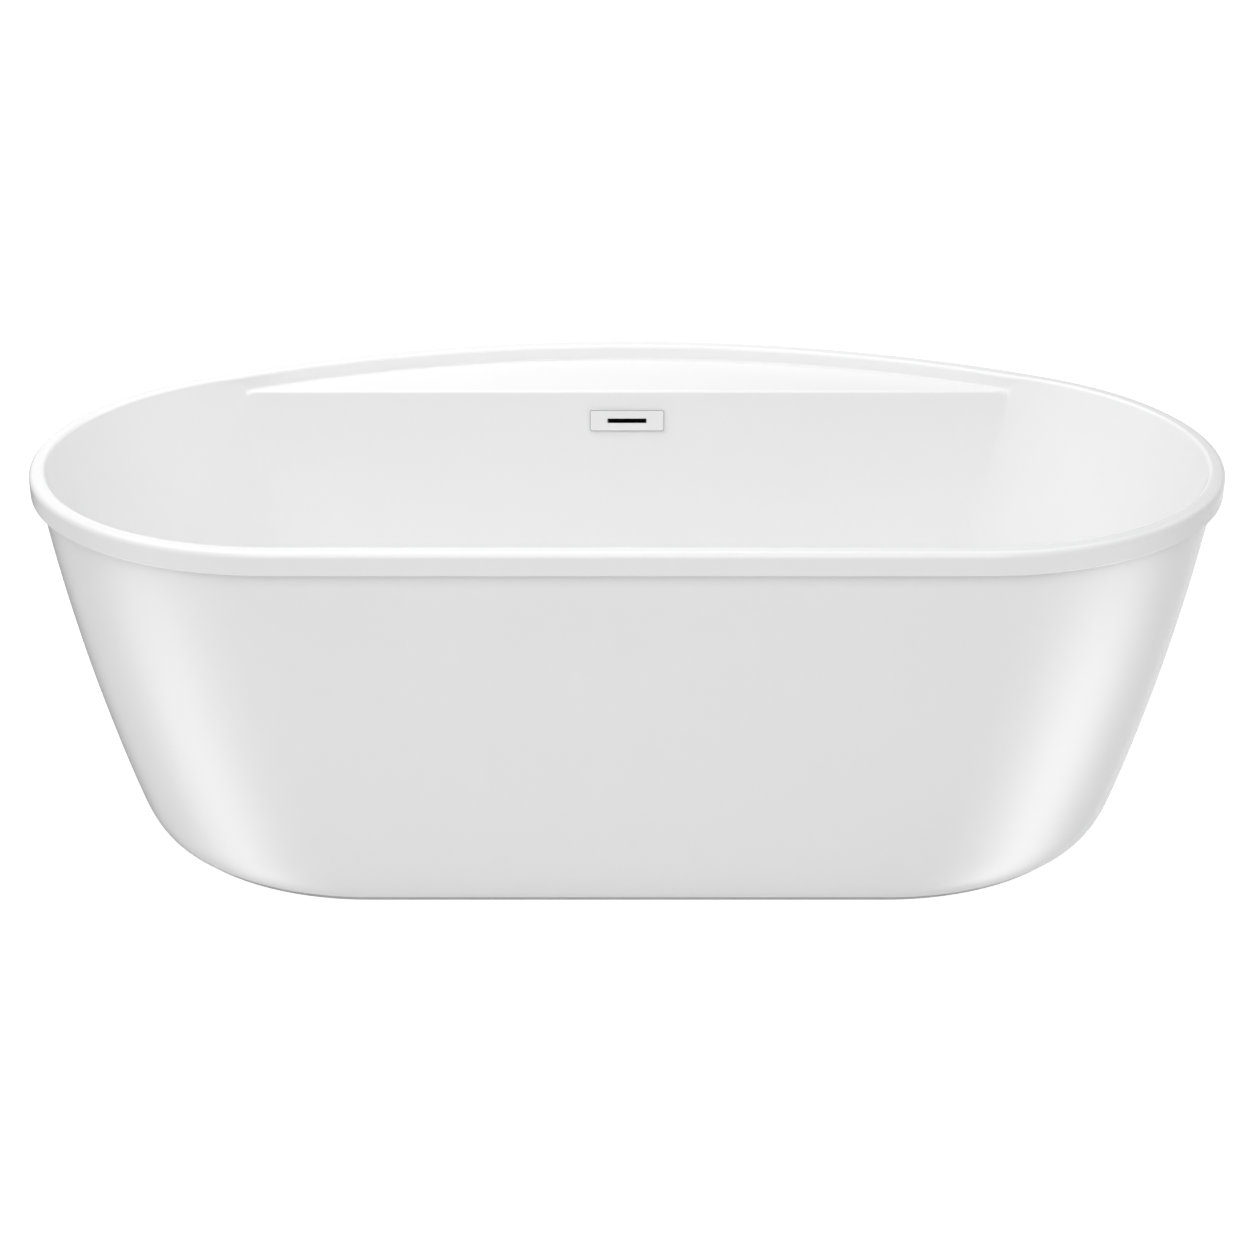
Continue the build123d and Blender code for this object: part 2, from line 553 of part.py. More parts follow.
# Screws through the bracket toes into the flange of the skirt
with BuildPart() as bracket_screws:
    with BuildSketch(Plane.XY.offset(SKIRT_FLANGE_TOP + BRACKET_STEEL)):
        with Locations(*BRACKET_SCREW_PLACES):
            Circle(SCREW_HEAD_RADIUS)
    extrude(amount=SCREW_HEAD_HEIGHT)
    with BuildSketch(Plane.XY.offset(SKIRT_FLANGE_TOP + BRACKET_STEEL)):
        with Locations(*BRACKET_SCREW_PLACES):
            Circle(BRACKET_SCREW_RADIUS)
    extrude(amount=-(BRACKET_STEEL + SKIRT_WALL))

# Nuts welded under the channel webs, and the lock nuts below them
with BuildPart() as foot_weld_nuts:
    with BuildSketch(Plane.XY.offset(FOOT_NUT_Z)):
        with Locations(*FEET.values()):
            RegularPolygon(FOOT_NUT_HEX / 2, 6, major_radius=False)
            Circle(FOOT_SHAFT_HOLE, mode=Mode.SUBTRACT)
    extrude(amount=FOOT_NUT_HEIGHT)

with BuildPart() as foot_lock_nuts:
    with BuildSketch(Plane.XY.offset(LOCK_NUT_Z)):
        with Locations(*FEET.values()):
            RegularPolygon(FOOT_NUT_HEX / 2, 6, major_radius=False)
            Circle(FOOT_SHAFT_HOLE, mode=Mode.SUBTRACT)
    extrude(amount=LOCK_NUT_HEIGHT)

# Levelling screws with a spanner collar, each standing in the socket of its pad
feet = {}
for place_name, (x, y) in FEET.items():
    with BuildPart() as foot_screw:
        extrude(disc(Plane((x, y, PAD_SOLE)), FOOT_SCREW_RADIUS), amount=FOOT_SCREW_TOP - PAD_SOLE)
        with BuildSketch(Plane((x, y, PAD_HEIGHT + FOOT_COLLAR_GAP))):
            RegularPolygon(FOOT_COLLAR_HEX / 2, 6, major_radius=False)
        extrude(amount=FOOT_COLLAR_HEIGHT)
    feet["foot_screw_" + place_name] = foot_screw
    with BuildPart() as foot_pad:
        with BuildSketch(Plane((x, y, 0), (1, 0, 0), (0, -1, 0))):
            with BuildLine():
                Polyline(
                    (0, 0),
                    (PAD_RADIUS, 0),
                    (PAD_RADIUS, PAD_EDGE),
                    (PAD_TOP_RADIUS, PAD_HEIGHT),
                    (FOOT_SHAFT_HOLE, PAD_HEIGHT),
                    (FOOT_SHAFT_HOLE, PAD_SOLE),
                    (0, PAD_SOLE),
                    close=True,
                )
            make_face()
        revolve(axis=Axis((x, y, 0), (0, 0, 1)))
    feet["foot_pad_" + place_name] = foot_pad

# Drain flange with its tube and the spider that carries the stopper cartridge
with BuildPart() as drain_flange:
    extrude(disc(drain_plane(FLOOR_HEIGHT), DRAIN_FLANGE_RADIUS), amount=DRAIN_FLANGE_THICK)
    extrude(disc(drain_plane(DRAIN_TUBE_END), DRAIN_TUBE_RADIUS), amount=DRAIN_TUBE_LENGTH)
    drain_bore = disc(drain_plane(DRAIN_TUBE_END), DRAIN_BORE_RADIUS)
    extrude(drain_bore, amount=DRAIN_TUBE_LENGTH + DRAIN_FLANGE_THICK, mode=Mode.SUBTRACT)
    top_circles = drain_flange.edges().filter_by(GeomType.CIRCLE).group_by(Axis.Z)[-1].sort_by(SortBy.RADIUS)
    chamfer(top_circles[0], DRAIN_SEAT_CHAMFER)
    fillet(top_circles[-1], DRAIN_EDGE_ROUND)
    with BuildSketch(drain_plane(SPIDER_Z)):
        Rectangle(DRAIN_BORE_RADIUS + DRAIN_TUBE_RADIUS, SPIDER_BAR)
        Rectangle(SPIDER_BAR, DRAIN_BORE_RADIUS + DRAIN_TUBE_RADIUS)
        Circle(SPIDER_HUB_RADIUS)
        Circle(CARTRIDGE_SPIGOT_RADIUS + SHAFT_CLEARANCE, mode=Mode.SUBTRACT)
    extrude(amount=SPIDER_THICK)

# Gasket, washer and nut that clamp the drain under the basin floor
CLAMP_BORE = DRAIN_TUBE_RADIUS + SHAFT_CLEARANCE
with BuildPart() as drain_gasket:
    extrude(ring(drain_plane(DRAIN_GASKET_Z), GASKET_RADIUS, CLAMP_BORE), amount=DRAIN_GASKET_THICK)

with BuildPart() as drain_washer:
    extrude(ring(drain_plane(DRAIN_WASHER_Z), GASKET_RADIUS, CLAMP_BORE), amount=DRAIN_WASHER_THICK)

with BuildPart() as drain_lock_nut:
    with BuildSketch(drain_plane(DRAIN_WASHER_Z)):
        RegularPolygon(DRAIN_NUT_HEX / 2, 6, major_radius=False)
        Circle(CLAMP_BORE, mode=Mode.SUBTRACT)
    extrude(amount=-DRAIN_NUT_HEIGHT)

# Tee on the drain tube with a side mouth for the crossover pipe
with BuildPart() as drain_tee:
    extrude(disc(drain_plane(TEE_BOTTOM), TEE_BODY_RADIUS), amount=TEE_TOP - TEE_BOTTOM)
    extrude(disc(crossover_plane(DRAIN_Y, 1), FITTING_RADIUS), amount=FITTING_REACH)
    extrude(disc(drain_plane(TEE_BOTTOM), PIPE_BORE), amount=TEE_TOP - TEE_BOTTOM, mode=Mode.SUBTRACT)
    extrude(disc(drain_plane(TEE_TOP), CLAMP_BORE), amount=-TEE_THREAD, mode=Mode.SUBTRACT)
    tail_socket = disc(drain_plane(TEE_BOTTOM), TAIL_SPIGOT_RADIUS + PIPE_CLEARANCE)
    extrude(tail_socket, amount=TAIL_SOCKET, mode=Mode.SUBTRACT)
    extrude(disc(crossover_plane(DRAIN_Y, 1), PIPE_BORE), amount=FITTING_REACH, mode=Mode.SUBTRACT)
    extrude(disc(crossover_plane(TEE_MOUTH_Y, 1), PIPE_SOCKET), amount=-SOCKET_DEPTH, mode=Mode.SUBTRACT)

with BuildPart() as tailpiece:
    extrude(ring(drain_plane(TAIL_END), PIPE_RADIUS, PIPE_BORE), amount=TEE_BOTTOM - TAIL_END)
    extrude(ring(drain_plane(TEE_BOTTOM), TAIL_SPIGOT_RADIUS, PIPE_BORE), amount=TAIL_SOCKET)

# Toe-tap stopper: fixed cartridge, sliding stem, cap and its seal
with BuildPart() as stopper_cartridge:
    extrude(disc(drain_plane(CARTRIDGE_Z), CARTRIDGE_RADIUS), amount=CARTRIDGE_HEIGHT)
    extrude(disc(drain_plane(CARTRIDGE_Z), CARTRIDGE_SPIGOT_RADIUS), amount=-CARTRIDGE_SPIGOT)
    stem_guide = disc(drain_plane(CARTRIDGE_Z + CARTRIDGE_HEIGHT), STEM_RADIUS + SHAFT_CLEARANCE)
    extrude(stem_guide, amount=STEM_END_GAP / 2 - CARTRIDGE_HEIGHT, mode=Mode.SUBTRACT)

with BuildPart() as stopper_stem:
    extrude(disc(drain_plane(STEM_BOTTOM), STEM_RADIUS), amount=STEM_TOP - STEM_BOTTOM)

with BuildPart() as stopper_cap:
    extrude(disc(drain_plane(STOPPER_Z), STOPPER_RADIUS), amount=STOPPER_THICK)
    fillet(stopper_cap.edges().group_by(Axis.Z)[-1], STOPPER_ROUND)
    extrude(disc(drain_plane(STOPPER_Z), STOPPER_BOSS_RADIUS), amount=-STOPPER_BOSS_DROP)
    stem_socket = disc(drain_plane(STOPPER_BOSS_Z), STEM_RADIUS + SHAFT_CLEARANCE)
    extrude(stem_socket, amount=STEM_TOP - STOPPER_BOSS_Z, mode=Mode.SUBTRACT)

with BuildPart() as stopper_seal:
    seal_ring = ring(drain_plane(DRAIN_TOP), STOPPER_SEAL_OUTER, STOPPER_SEAL_INNER)
    extrude(seal_ring, amount=STOPPER_SEAL_THICK)

# Overflow cover: shallow box with one slot, open towards the wall
with BuildPart() as overflow_cover:
    with BuildSketch(WALL_INSIDE):
        RectangleRounded(COVER_LENGTH, COVER_HEIGHT, COVER_ROUND)
    extrude(amount=COVER_DEPTH)
    with BuildSketch(WALL_INSIDE):
        Rectangle(COVER_LENGTH - 2 * COVER_WALL, COVER_HEIGHT - 2 * COVER_WALL)
    extrude(amount=COVER_DEPTH - COVER_WALL, mode=Mode.SUBTRACT)
    with BuildSketch(WALL_INSIDE):
        Rectangle(SLOT_LENGTH, SLOT_HEIGHT)
    extrude(amount=COVER_DEPTH, mode=Mode.SUBTRACT)

# Plate behind the cover, screwed through the window in the wall into the overflow body
with BuildPart() as overflow_bracket:
    with BuildSketch(WALL_INSIDE):
        RectangleRounded(OVERFLOW_BRACKET_LENGTH, OVERFLOW_BRACKET_HEIGHT, WINDOW_ROUND)
        RectangleRounded(WINDOW_LENGTH, WINDOW_HEIGHT, WINDOW_ROUND, mode=Mode.SUBTRACT)
        with Locations(*OVERFLOW_SCREWS):
            Circle(OVERFLOW_SCREW_RADIUS + HOLE_CLEARANCE, mode=Mode.SUBTRACT)
    extrude(amount=OVERFLOW_BRACKET_THICK)

SCREW_GRIP = OVERFLOW_BRACKET_THICK + WALL_THICK + OVERFLOW_GASKET_THICK + OVERFLOW_FLANGE_THICK
with BuildPart() as overflow_screws:
    with BuildSketch(WALL_INSIDE.offset(OVERFLOW_BRACKET_THICK)):
        with Locations(*OVERFLOW_SCREWS):
            Circle(OVERFLOW_HEAD_RADIUS)
    extrude(amount=OVERFLOW_HEAD_HEIGHT)
    with BuildSketch(WALL_INSIDE.offset(OVERFLOW_BRACKET_THICK)):
        with Locations(*OVERFLOW_SCREWS):
            Circle(OVERFLOW_SCREW_RADIUS)
    extrude(amount=-SCREW_GRIP)

with BuildPart() as overflow_gasket:
    with BuildSketch(WALL_OUTSIDE):
        RectangleRounded(OVERFLOW_FLANGE_LENGTH, OVERFLOW_FLANGE_HEIGHT, OVERFLOW_BOX_ROUND)
        RectangleRounded(WINDOW_LENGTH, WINDOW_HEIGHT, WINDOW_ROUND, mode=Mode.SUBTRACT)
        with Locations(*OVERFLOW_SCREWS):
            Circle(OVERFLOW_SCREW_RADIUS + HOLE_CLEARANCE, mode=Mode.SUBTRACT)
    extrude(amount=OVERFLOW_GASKET_THICK)

# Overflow body: flange, box and a socket down to the overflow pipe
BOX_BORE_LENGTH = OVERFLOW_BOX_LENGTH - 2 * OVERFLOW_BOX_WALL
BOX_BORE_HEIGHT = OVERFLOW_BOX_HEIGHT - 2 * OVERFLOW_BOX_WALL
SOCKET_RISE = OVERFLOW_BOX_MIDDLE_Z - OVERFLOW_SOCKET_Z
with BuildPart() as overflow_body:
    with BuildSketch(FLANGE_PLANE):
        RectangleRounded(OVERFLOW_FLANGE_LENGTH, OVERFLOW_FLANGE_HEIGHT, OVERFLOW_BOX_ROUND)
        with Locations(*OVERFLOW_SCREWS):
            Circle(OVERFLOW_SCREW_RADIUS + SHAFT_CLEARANCE, mode=Mode.SUBTRACT)
    extrude(amount=OVERFLOW_FLANGE_THICK)
    with BuildSketch(FLANGE_PLANE):
        RectangleRounded(OVERFLOW_BOX_LENGTH, OVERFLOW_BOX_HEIGHT, OVERFLOW_BOX_ROUND)
    extrude(amount=OVERFLOW_BOX_DEPTH)
    extrude(disc(riser_plane(OVERFLOW_SOCKET_Z), FITTING_RADIUS), amount=SOCKET_RISE)
    with BuildSketch(FLANGE_PLANE):
        RectangleRounded(BOX_BORE_LENGTH, BOX_BORE_HEIGHT, OVERFLOW_BOX_ROUND - OVERFLOW_BOX_WALL)
    extrude(amount=OVERFLOW_BOX_DEPTH - OVERFLOW_BOX_WALL, mode=Mode.SUBTRACT)
    extrude(disc(riser_plane(OVERFLOW_SOCKET_Z), PIPE_BORE), amount=SOCKET_RISE, mode=Mode.SUBTRACT)
    extrude(disc(riser_plane(OVERFLOW_SOCKET_Z), PIPE_SOCKET), amount=SOCKET_DEPTH, mode=Mode.SUBTRACT)

# Overflow pipe, elbow and crossover pipe
RISER_BOTTOM = ELBOW_TOP - SOCKET_DEPTH
RISER_TOP = OVERFLOW_SOCKET_Z + SOCKET_DEPTH
with BuildPart() as overflow_pipe:
    extrude(ring(riser_plane(RISER_BOTTOM), PIPE_RADIUS, PIPE_BORE), amount=RISER_TOP - RISER_BOTTOM)

with BuildPart() as overflow_elbow:
    with Locations((DRAIN_X, PIPE_Y, CROSSOVER_HEIGHT)):
        Sphere(FITTING_RADIUS)
    extrude(disc(riser_plane(CROSSOVER_HEIGHT), FITTING_RADIUS), amount=FITTING_REACH)
    extrude(disc(crossover_plane(PIPE_Y, -1), FITTING_RADIUS), amount=FITTING_REACH)
    with Locations((DRAIN_X, PIPE_Y, CROSSOVER_HEIGHT)):
        Sphere(PIPE_BORE, mode=Mode.SUBTRACT)
    extrude(disc(riser_plane(CROSSOVER_HEIGHT), PIPE_BORE), amount=FITTING_REACH, mode=Mode.SUBTRACT)
    extrude(disc(crossover_plane(PIPE_Y, -1), PIPE_BORE), amount=FITTING_REACH, mode=Mode.SUBTRACT)
    extrude(disc(riser_plane(ELBOW_TOP), PIPE_SOCKET), amount=-SOCKET_DEPTH, mode=Mode.SUBTRACT)
    extrude(disc(crossover_plane(ELBOW_MOUTH_Y, -1), PIPE_SOCKET), amount=-SOCKET_DEPTH, mode=Mode.SUBTRACT)

CROSSOVER_START = TEE_MOUTH_Y - SOCKET_DEPTH
CROSSOVER_END = ELBOW_MOUTH_Y + SOCKET_DEPTH
with BuildPart() as crossover_pipe:
    pipe_ring = ring(crossover_plane(CROSSOVER_START, 1), PIPE_RADIUS, PIPE_BORE)
    extrude(pipe_ring, amount=CROSSOVER_END - CROSSOVER_START)

# Slip nuts and washers on the four pipe joints
with BuildPart() as slip_nuts:
    for joint in SLIP_JOINTS:
        with BuildSketch(joint.offset(SLIP_WASHER_THICK + SLIP_NUT_LIP)):
            RegularPolygon(SLIP_NUT_HEX / 2, 8, major_radius=False)
        extrude(amount=-SLIP_NUT_LENGTH)
        fitting_end = disc(joint.offset(SLIP_WASHER_THICK), FITTING_RADIUS + PIPE_CLEARANCE)
        extrude(fitting_end, amount=SLIP_NUT_LIP - SLIP_NUT_LENGTH, mode=Mode.SUBTRACT)
        extrude(disc(joint.offset(SLIP_WASHER_THICK), PIPE_SOCKET), amount=SLIP_NUT_LIP, mode=Mode.SUBTRACT)

with BuildPart() as slip_washers:
    for joint in SLIP_JOINTS:
        extrude(ring(joint, FITTING_RADIUS, PIPE_SOCKET), amount=SLIP_WASHER_THICK)

pieces = {
    "basin": basin,
    "skirt": skirt,
    "rim_adhesive": rim_adhesive,
    "floor_seal": floor_seal,
    "base_board": base_board,
    **leg_bars,
    "leg_screws": leg_screws,
    "skirt_brackets": skirt_brackets,
    "bracket_bolts": bracket_bolts,
    "bracket_screws": bracket_screws,
    "foot_weld_nuts": foot_weld_nuts,
    "foot_lock_nuts": foot_lock_nuts,
    **feet,
    "drain_flange": drain_flange,
    "drain_gasket": drain_gasket,
    "drain_washer": drain_washer,
    "drain_lock_nut": drain_lock_nut,
    "drain_tee": drain_tee,
    "tailpiece": tailpiece,
    "stopper_cartridge": stopper_cartridge,
    "stopper_stem": stopper_stem,
    "stopper_cap": stopper_cap,
    "stopper_seal": stopper_seal,
    "overflow_cover": overflow_cover,
    "overflow_bracket": overflow_bracket,
    "overflow_screws": overflow_screws,
    "overflow_gasket": overflow_gasket,
    "overflow_body": overflow_body,
    "overflow_pipe": overflow_pipe,
    "overflow_elbow": overflow_elbow,
    "crossover_pipe": crossover_pipe,
    "slip_nuts": slip_nuts,
    "slip_washers": slip_washers,
}
for label, piece in pieces.items():
    piece.part.label = label
    export_step(piece.part, f"parts/{label}.step")
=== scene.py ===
import json
from math import atan2, cos, pi, radians, sin, sqrt

import bpy
import numpy as np
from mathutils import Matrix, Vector


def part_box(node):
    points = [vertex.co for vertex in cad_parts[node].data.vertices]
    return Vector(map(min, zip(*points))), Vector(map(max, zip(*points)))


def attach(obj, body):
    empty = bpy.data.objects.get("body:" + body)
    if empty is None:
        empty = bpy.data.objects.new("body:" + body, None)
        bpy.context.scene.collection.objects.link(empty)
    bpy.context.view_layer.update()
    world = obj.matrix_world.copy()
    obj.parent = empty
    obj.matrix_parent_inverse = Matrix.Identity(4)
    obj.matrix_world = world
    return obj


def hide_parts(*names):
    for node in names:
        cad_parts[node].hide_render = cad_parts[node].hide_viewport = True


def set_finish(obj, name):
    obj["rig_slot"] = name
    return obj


# Freestanding acrylic bathtub, in metres in the CAD frame: +Z up, the straight front faces -Y.
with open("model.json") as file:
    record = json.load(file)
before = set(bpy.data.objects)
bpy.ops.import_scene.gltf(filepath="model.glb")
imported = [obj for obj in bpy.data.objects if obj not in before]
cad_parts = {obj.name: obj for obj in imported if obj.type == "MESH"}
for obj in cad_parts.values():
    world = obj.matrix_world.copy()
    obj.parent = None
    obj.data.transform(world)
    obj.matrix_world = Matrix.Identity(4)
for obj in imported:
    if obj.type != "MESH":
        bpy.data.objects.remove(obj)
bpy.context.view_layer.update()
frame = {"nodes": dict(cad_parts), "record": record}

basin_low, basin_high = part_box("basin")
skirt_low, skirt_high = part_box("skirt")
seal_low, seal_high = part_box("floor_seal")
flange_low, flange_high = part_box("drain_flange")

# Acrylic sheet, rim and faucet ledge
END_RADIUS = 0.3855
ACRYLIC = 0.006
RIM_WIDTH = 0.0275
RIM_BAND = 0.0315
RIM_OUTER_ROUND = 0.008
RIM_INNER_ROUND = 0.006
BAND_EDGE_ROUND = 0.0015
LEDGE_DROP = 0.023
LEDGE_DEPTH = 0.1625
LEDGE_STEP = 0.0008
LEDGE_COVE = 0.003
LEDGE_EDGE_ROUND = 0.005
LEDGE_ROUND_SHARE = 0.4

# Where the ledge narrows from the second of these widths to the first, it and the upright wall above it fade
# into the sloping wall of the ends, from so far above the ledge to so far below it
LEDGE_FADES = (0.0030, 0.0065)
UPRIGHT_FADES = (0.0008, 0.0080)
FADE_ABOVE = 0.014
FADE_BELOW = 0.030

# Bowl below the ledge
FLOOR_HEIGHT = 0.115
END_TAPER = 0.129
SIDE_TAPER = 0.056
LEDGE_CORNER = 0.010
FLOOR_CORNER = 0.085
FLOOR_ROUND = 0.060
FLOOR_INSET = 0.075
DRAIN_HOLE_RADIUS = 0.023

# Skirt
SKIRT_WALL = 0.005
SKIRT_BOW = 0.45
SKIRT_EDGE_ROUND = 0.016
SKIRT_EDGE_RISE = 3.75
SKIRT_FLANGE = 0.060
SKIRT_EDGE_REACH = 0.070

# Slot overflow
OVERFLOW_DROP = 0.069
WINDOW_LENGTH = 0.098
WINDOW_HEIGHT = 0.020
COVER_LENGTH = 0.1145
COVER_HEIGHT = 0.0315
COVER_PROUD = 0.0046
COVER_PLATE = 0.0012
COVER_UNDERCUT = 0.0016
COVER_CORNER = 0.0020
COVER_EDGE_ROUND = 0.0004
# Width of the dark ring round the cover plate: painted shade for the shadow gap round it
COVER_SHADE_LIP = 0.0005
COVER_WALL = 0.0006
SLOT_LENGTH = 0.062
SLOT_HEIGHT = 0.007
SLOT_CORNER = 0.0008
SLOT_EDGE_ROUND = 0.0004

# Points along each stretch of half a plan, from the front centre round the right end to the back centre
FRONT_POINTS = 30
END_POINTS = 72
CORNER_POINTS = 16
BACK_POINTS = 36
WINDOW_POINTS = 6
COVER_CORNER_POINTS = 5

# Loops in the rounded edges and on the walls
SMALL_ROUND_STEPS = 4
EDGE_ROUND_STEPS = 8
FLOOR_ROUND_STEPS = 16
SKIRT_OUTER_LOOPS = 40
SKIRT_INNER_LOOPS = 12
SHARP_ANGLE = radians(40)

# Heights and plans that follow from the sizes and the frame
RIM_TOP = basin_high.z
RIM_UNDERSIDE = RIM_TOP - ACRYLIC
BAND_BOTTOM = RIM_TOP - RIM_BAND
LEDGE_Z = RIM_TOP - LEDGE_DROP
FLOOR_UNDERSIDE = FLOOR_HEIGHT - ACRYLIC
SKIRT_TOP = skirt_high.z
SKIRT_BOTTOM = skirt_low.z
FLANGE_TOP = SKIRT_BOTTOM + SKIRT_WALL
AXIS_Y = basin_low.y + END_RADIUS
RIM_STRAIGHT = basin_high.x - END_RADIUS
RIM_BACK = basin_high.y - AXIS_Y
SKIRT_INSET = basin_high.x - skirt_high.x
FOOT_RADIUS = AXIS_Y - seal_low.y + SKIRT_EDGE_ROUND
FOOT_STRAIGHT = seal_high.x - (AXIS_Y - seal_low.y)
FOOT_BACK = seal_high.y - AXIS_Y + SKIRT_EDGE_ROUND
BOWL_RADIUS = END_RADIUS - RIM_WIDTH - LEDGE_STEP
BOWL_BACK = RIM_BACK - RIM_WIDTH - LEDGE_DEPTH
DRAIN_X = (flange_low.x + flange_high.x) / 2
DRAIN_Y = (flange_low.y + flange_high.y) / 2
BACK_LEAN = atan2(SIDE_TAPER, LEDGE_Z - FLOOR_HEIGHT)
OVERFLOW_Z = RIM_TOP - OVERFLOW_DROP
WINDOW_RISE = WINDOW_HEIGHT / 2 * cos(BACK_LEAN)


def between(start, end, share):
    """The value a share of the way from start to end."""
    return start + (end - start) * share


def depth_at(z):
    """How far down the bowl a height is: 0 at the ledge and 1 at the floor."""
    return (LEDGE_Z - z) / (LEDGE_Z - FLOOR_HEIGHT)


OVERFLOW_Y = AXIS_Y + BOWL_BACK - SIDE_TAPER * depth_at(OVERFLOW_Z)


def bowed_arc(half_straight, end_radius, back_reach):
    """Radius of the back arc tangent to both end arcs, and how far its centre lies in front of theirs."""
    bulge = back_reach - end_radius
    drop = (half_straight**2 - bulge**2) / (2 * bulge)
    return back_reach + drop, drop


def bowl_plan(depth, grow):
    """Half straight, end radius and back reach of the bowl, which change evenly with depth, and its corner
    radius, which grows with the root of the depth."""
    half_straight = RIM_STRAIGHT - (END_TAPER - SIDE_TAPER) * depth
    end_radius = BOWL_RADIUS - SIDE_TAPER * depth + grow
    back_reach = BOWL_BACK - SIDE_TAPER * depth + grow
    corner = between(LEDGE_CORNER, FLOOR_CORNER, sqrt(max(depth, 0.0))) + grow
    return half_straight, end_radius, back_reach, corner


def corner_centre(half_straight, end_radius, back_reach, corner):
    """Centre of the eased back corner, which touches the end arc from inside and the straight back."""
    corner_y = back_reach - corner
    return half_straight + sqrt((end_radius - corner) ** 2 - corner_y**2), corner_y


def back_places(corner_x):
    """X of the points along the straight back: even steps to the overflow window, then across half of it."""
    beside = np.linspace(corner_x, WINDOW_LENGTH / 2, BACK_POINTS, endpoint=False)
    across = np.linspace(WINDOW_LENGTH / 2, 0.0, WINDOW_POINTS + 1)
    return np.concatenate([beside, across])


# Shares of a bowed back arc's lean at its points, so that the points across the ledge face each other
POCKET_ARC, POCKET_DROP = bowed_arc(RIM_STRAIGHT, END_RADIUS - RIM_WIDTH, RIM_BACK - RIM_WIDTH)
POCKET_LEAN = atan2(RIM_STRAIGHT, POCKET_DROP)
END_TURN = pi / 2 - POCKET_LEAN
LEDGE_SHARES = np.arcsin(back_places(corner_centre(*bowl_plan(0.0, 0.0))[0]) / POCKET_ARC) / POCKET_LEAN
BACK_SHARES = np.concatenate([np.linspace(1.0, LEDGE_SHARES[0], CORNER_POINTS, endpoint=False), LEDGE_SHARES])


def arc_points(centre, radius, angles):
    """Points on a circle: centre + radius (cos, sin) of each angle."""
    return np.column_stack([centre[0] + radius * np.cos(angles), centre[1] + radius * np.sin(angles)])


def level_loop(half, z):
    """A closed loop at one height from its right half and the mirror image of that, the two centres once."""
    plan = np.concatenate([half, half[-2:0:-1] * (-1.0, 1.0)])
    return np.column_stack([plan[:, 0], plan[:, 1] + AXIS_Y, np.full(len(plan), z)])


def front_and_end(half_straight, end_radius, end_turn):
    """Straight front from its centre, then the end arc from straight ahead round to an angle."""
    ahead = np.linspace(0.0, half_straight, FRONT_POINTS, endpoint=False)
    front = np.column_stack([ahead, np.full(FRONT_POINTS, -end_radius)])
    angles = np.linspace(-pi / 2, end_turn, END_POINTS, endpoint=False)
    return np.concatenate([front, arc_points((half_straight, 0.0), end_radius, angles)])


def bowed_loop(half_straight, end_radius, back_reach, z):
    """Plan of the rim or skirt at a height: straight front, round ends and one long back arc, all tangent."""
    back_radius, drop = bowed_arc(half_straight, end_radius, back_reach)
    lean = atan2(half_straight, drop)
    back = arc_points((0.0, -drop), back_radius, pi / 2 - lean * BACK_SHARES)
    return level_loop(np.concatenate([front_and_end(half_straight, end_radius, pi / 2 - lean), back]), z)


def rim_loop(inset, z):
    """Plan of the rim moved inwards by inset, at a height."""
    return bowed_loop(RIM_STRAIGHT, END_RADIUS - inset, RIM_BACK - inset, z)


def skirt_loop(inset, z):
    """Plan of the skirt at a height, from rim to foot by a share that lags behind the fall and so bows it."""
    fall = (SKIRT_TOP - z) / (SKIRT_TOP - SKIRT_BOTTOM)
    share = fall - SKIRT_BOW * fall * (1 - fall)
    half_straight = between(RIM_STRAIGHT, FOOT_STRAIGHT, share)
    end_radius = between(END_RADIUS - SKIRT_INSET, FOOT_RADIUS, share)
    back_reach = between(RIM_BACK - SKIRT_INSET, FOOT_BACK, share)
    return bowed_loop(half_straight, end_radius - inset, back_reach - inset, z)


def bowl_loop(z, grow=0.0, at=None):
    """Plan of the bowl for a height: front, end arc, the rest of that arc and the corner arc in even steps of
    length, then the straight back. It lies at that height, or at another one given as at."""
    half_straight, end_radius, back_reach, corner = bowl_plan(depth_at(z), grow)
    corner_x, corner_y = corner_centre(half_straight, end_radius, back_reach, corner)
    turn = atan2(corner_y, corner_x - half_straight)
    end_length = end_radius * (turn - END_TURN)
    along = np.linspace(0.0, end_length + corner * (pi / 2 - turn), CORNER_POINTS, endpoint=False)
    on_end = arc_points((half_straight, 0.0), end_radius, END_TURN + along / end_radius)
    on_corner = arc_points((corner_x, corner_y), corner, turn + (along - end_length) / corner)
    eased = np.where(along[:, None] < end_length, on_end, on_corner)
    back_x = back_places(corner_x)
    back = np.column_stack([back_x, np.full(len(back_x), back_reach)])
    half = np.concatenate([front_and_end(half_straight, end_radius, END_TURN), eased, back])
    return level_loop(half, z if at is None else at)


def drain_loop(around, z):
    """Circle of the drain hole, each point in the direction of the matching point of a loop around it."""
    angles = np.arctan2(around[:, 1] - DRAIN_Y, around[:, 0] - DRAIN_X)
    circle = arc_points((DRAIN_X, DRAIN_Y), DRAIN_HOLE_RADIUS, angles)
    return np.column_stack([circle, np.full(len(circle), z)])


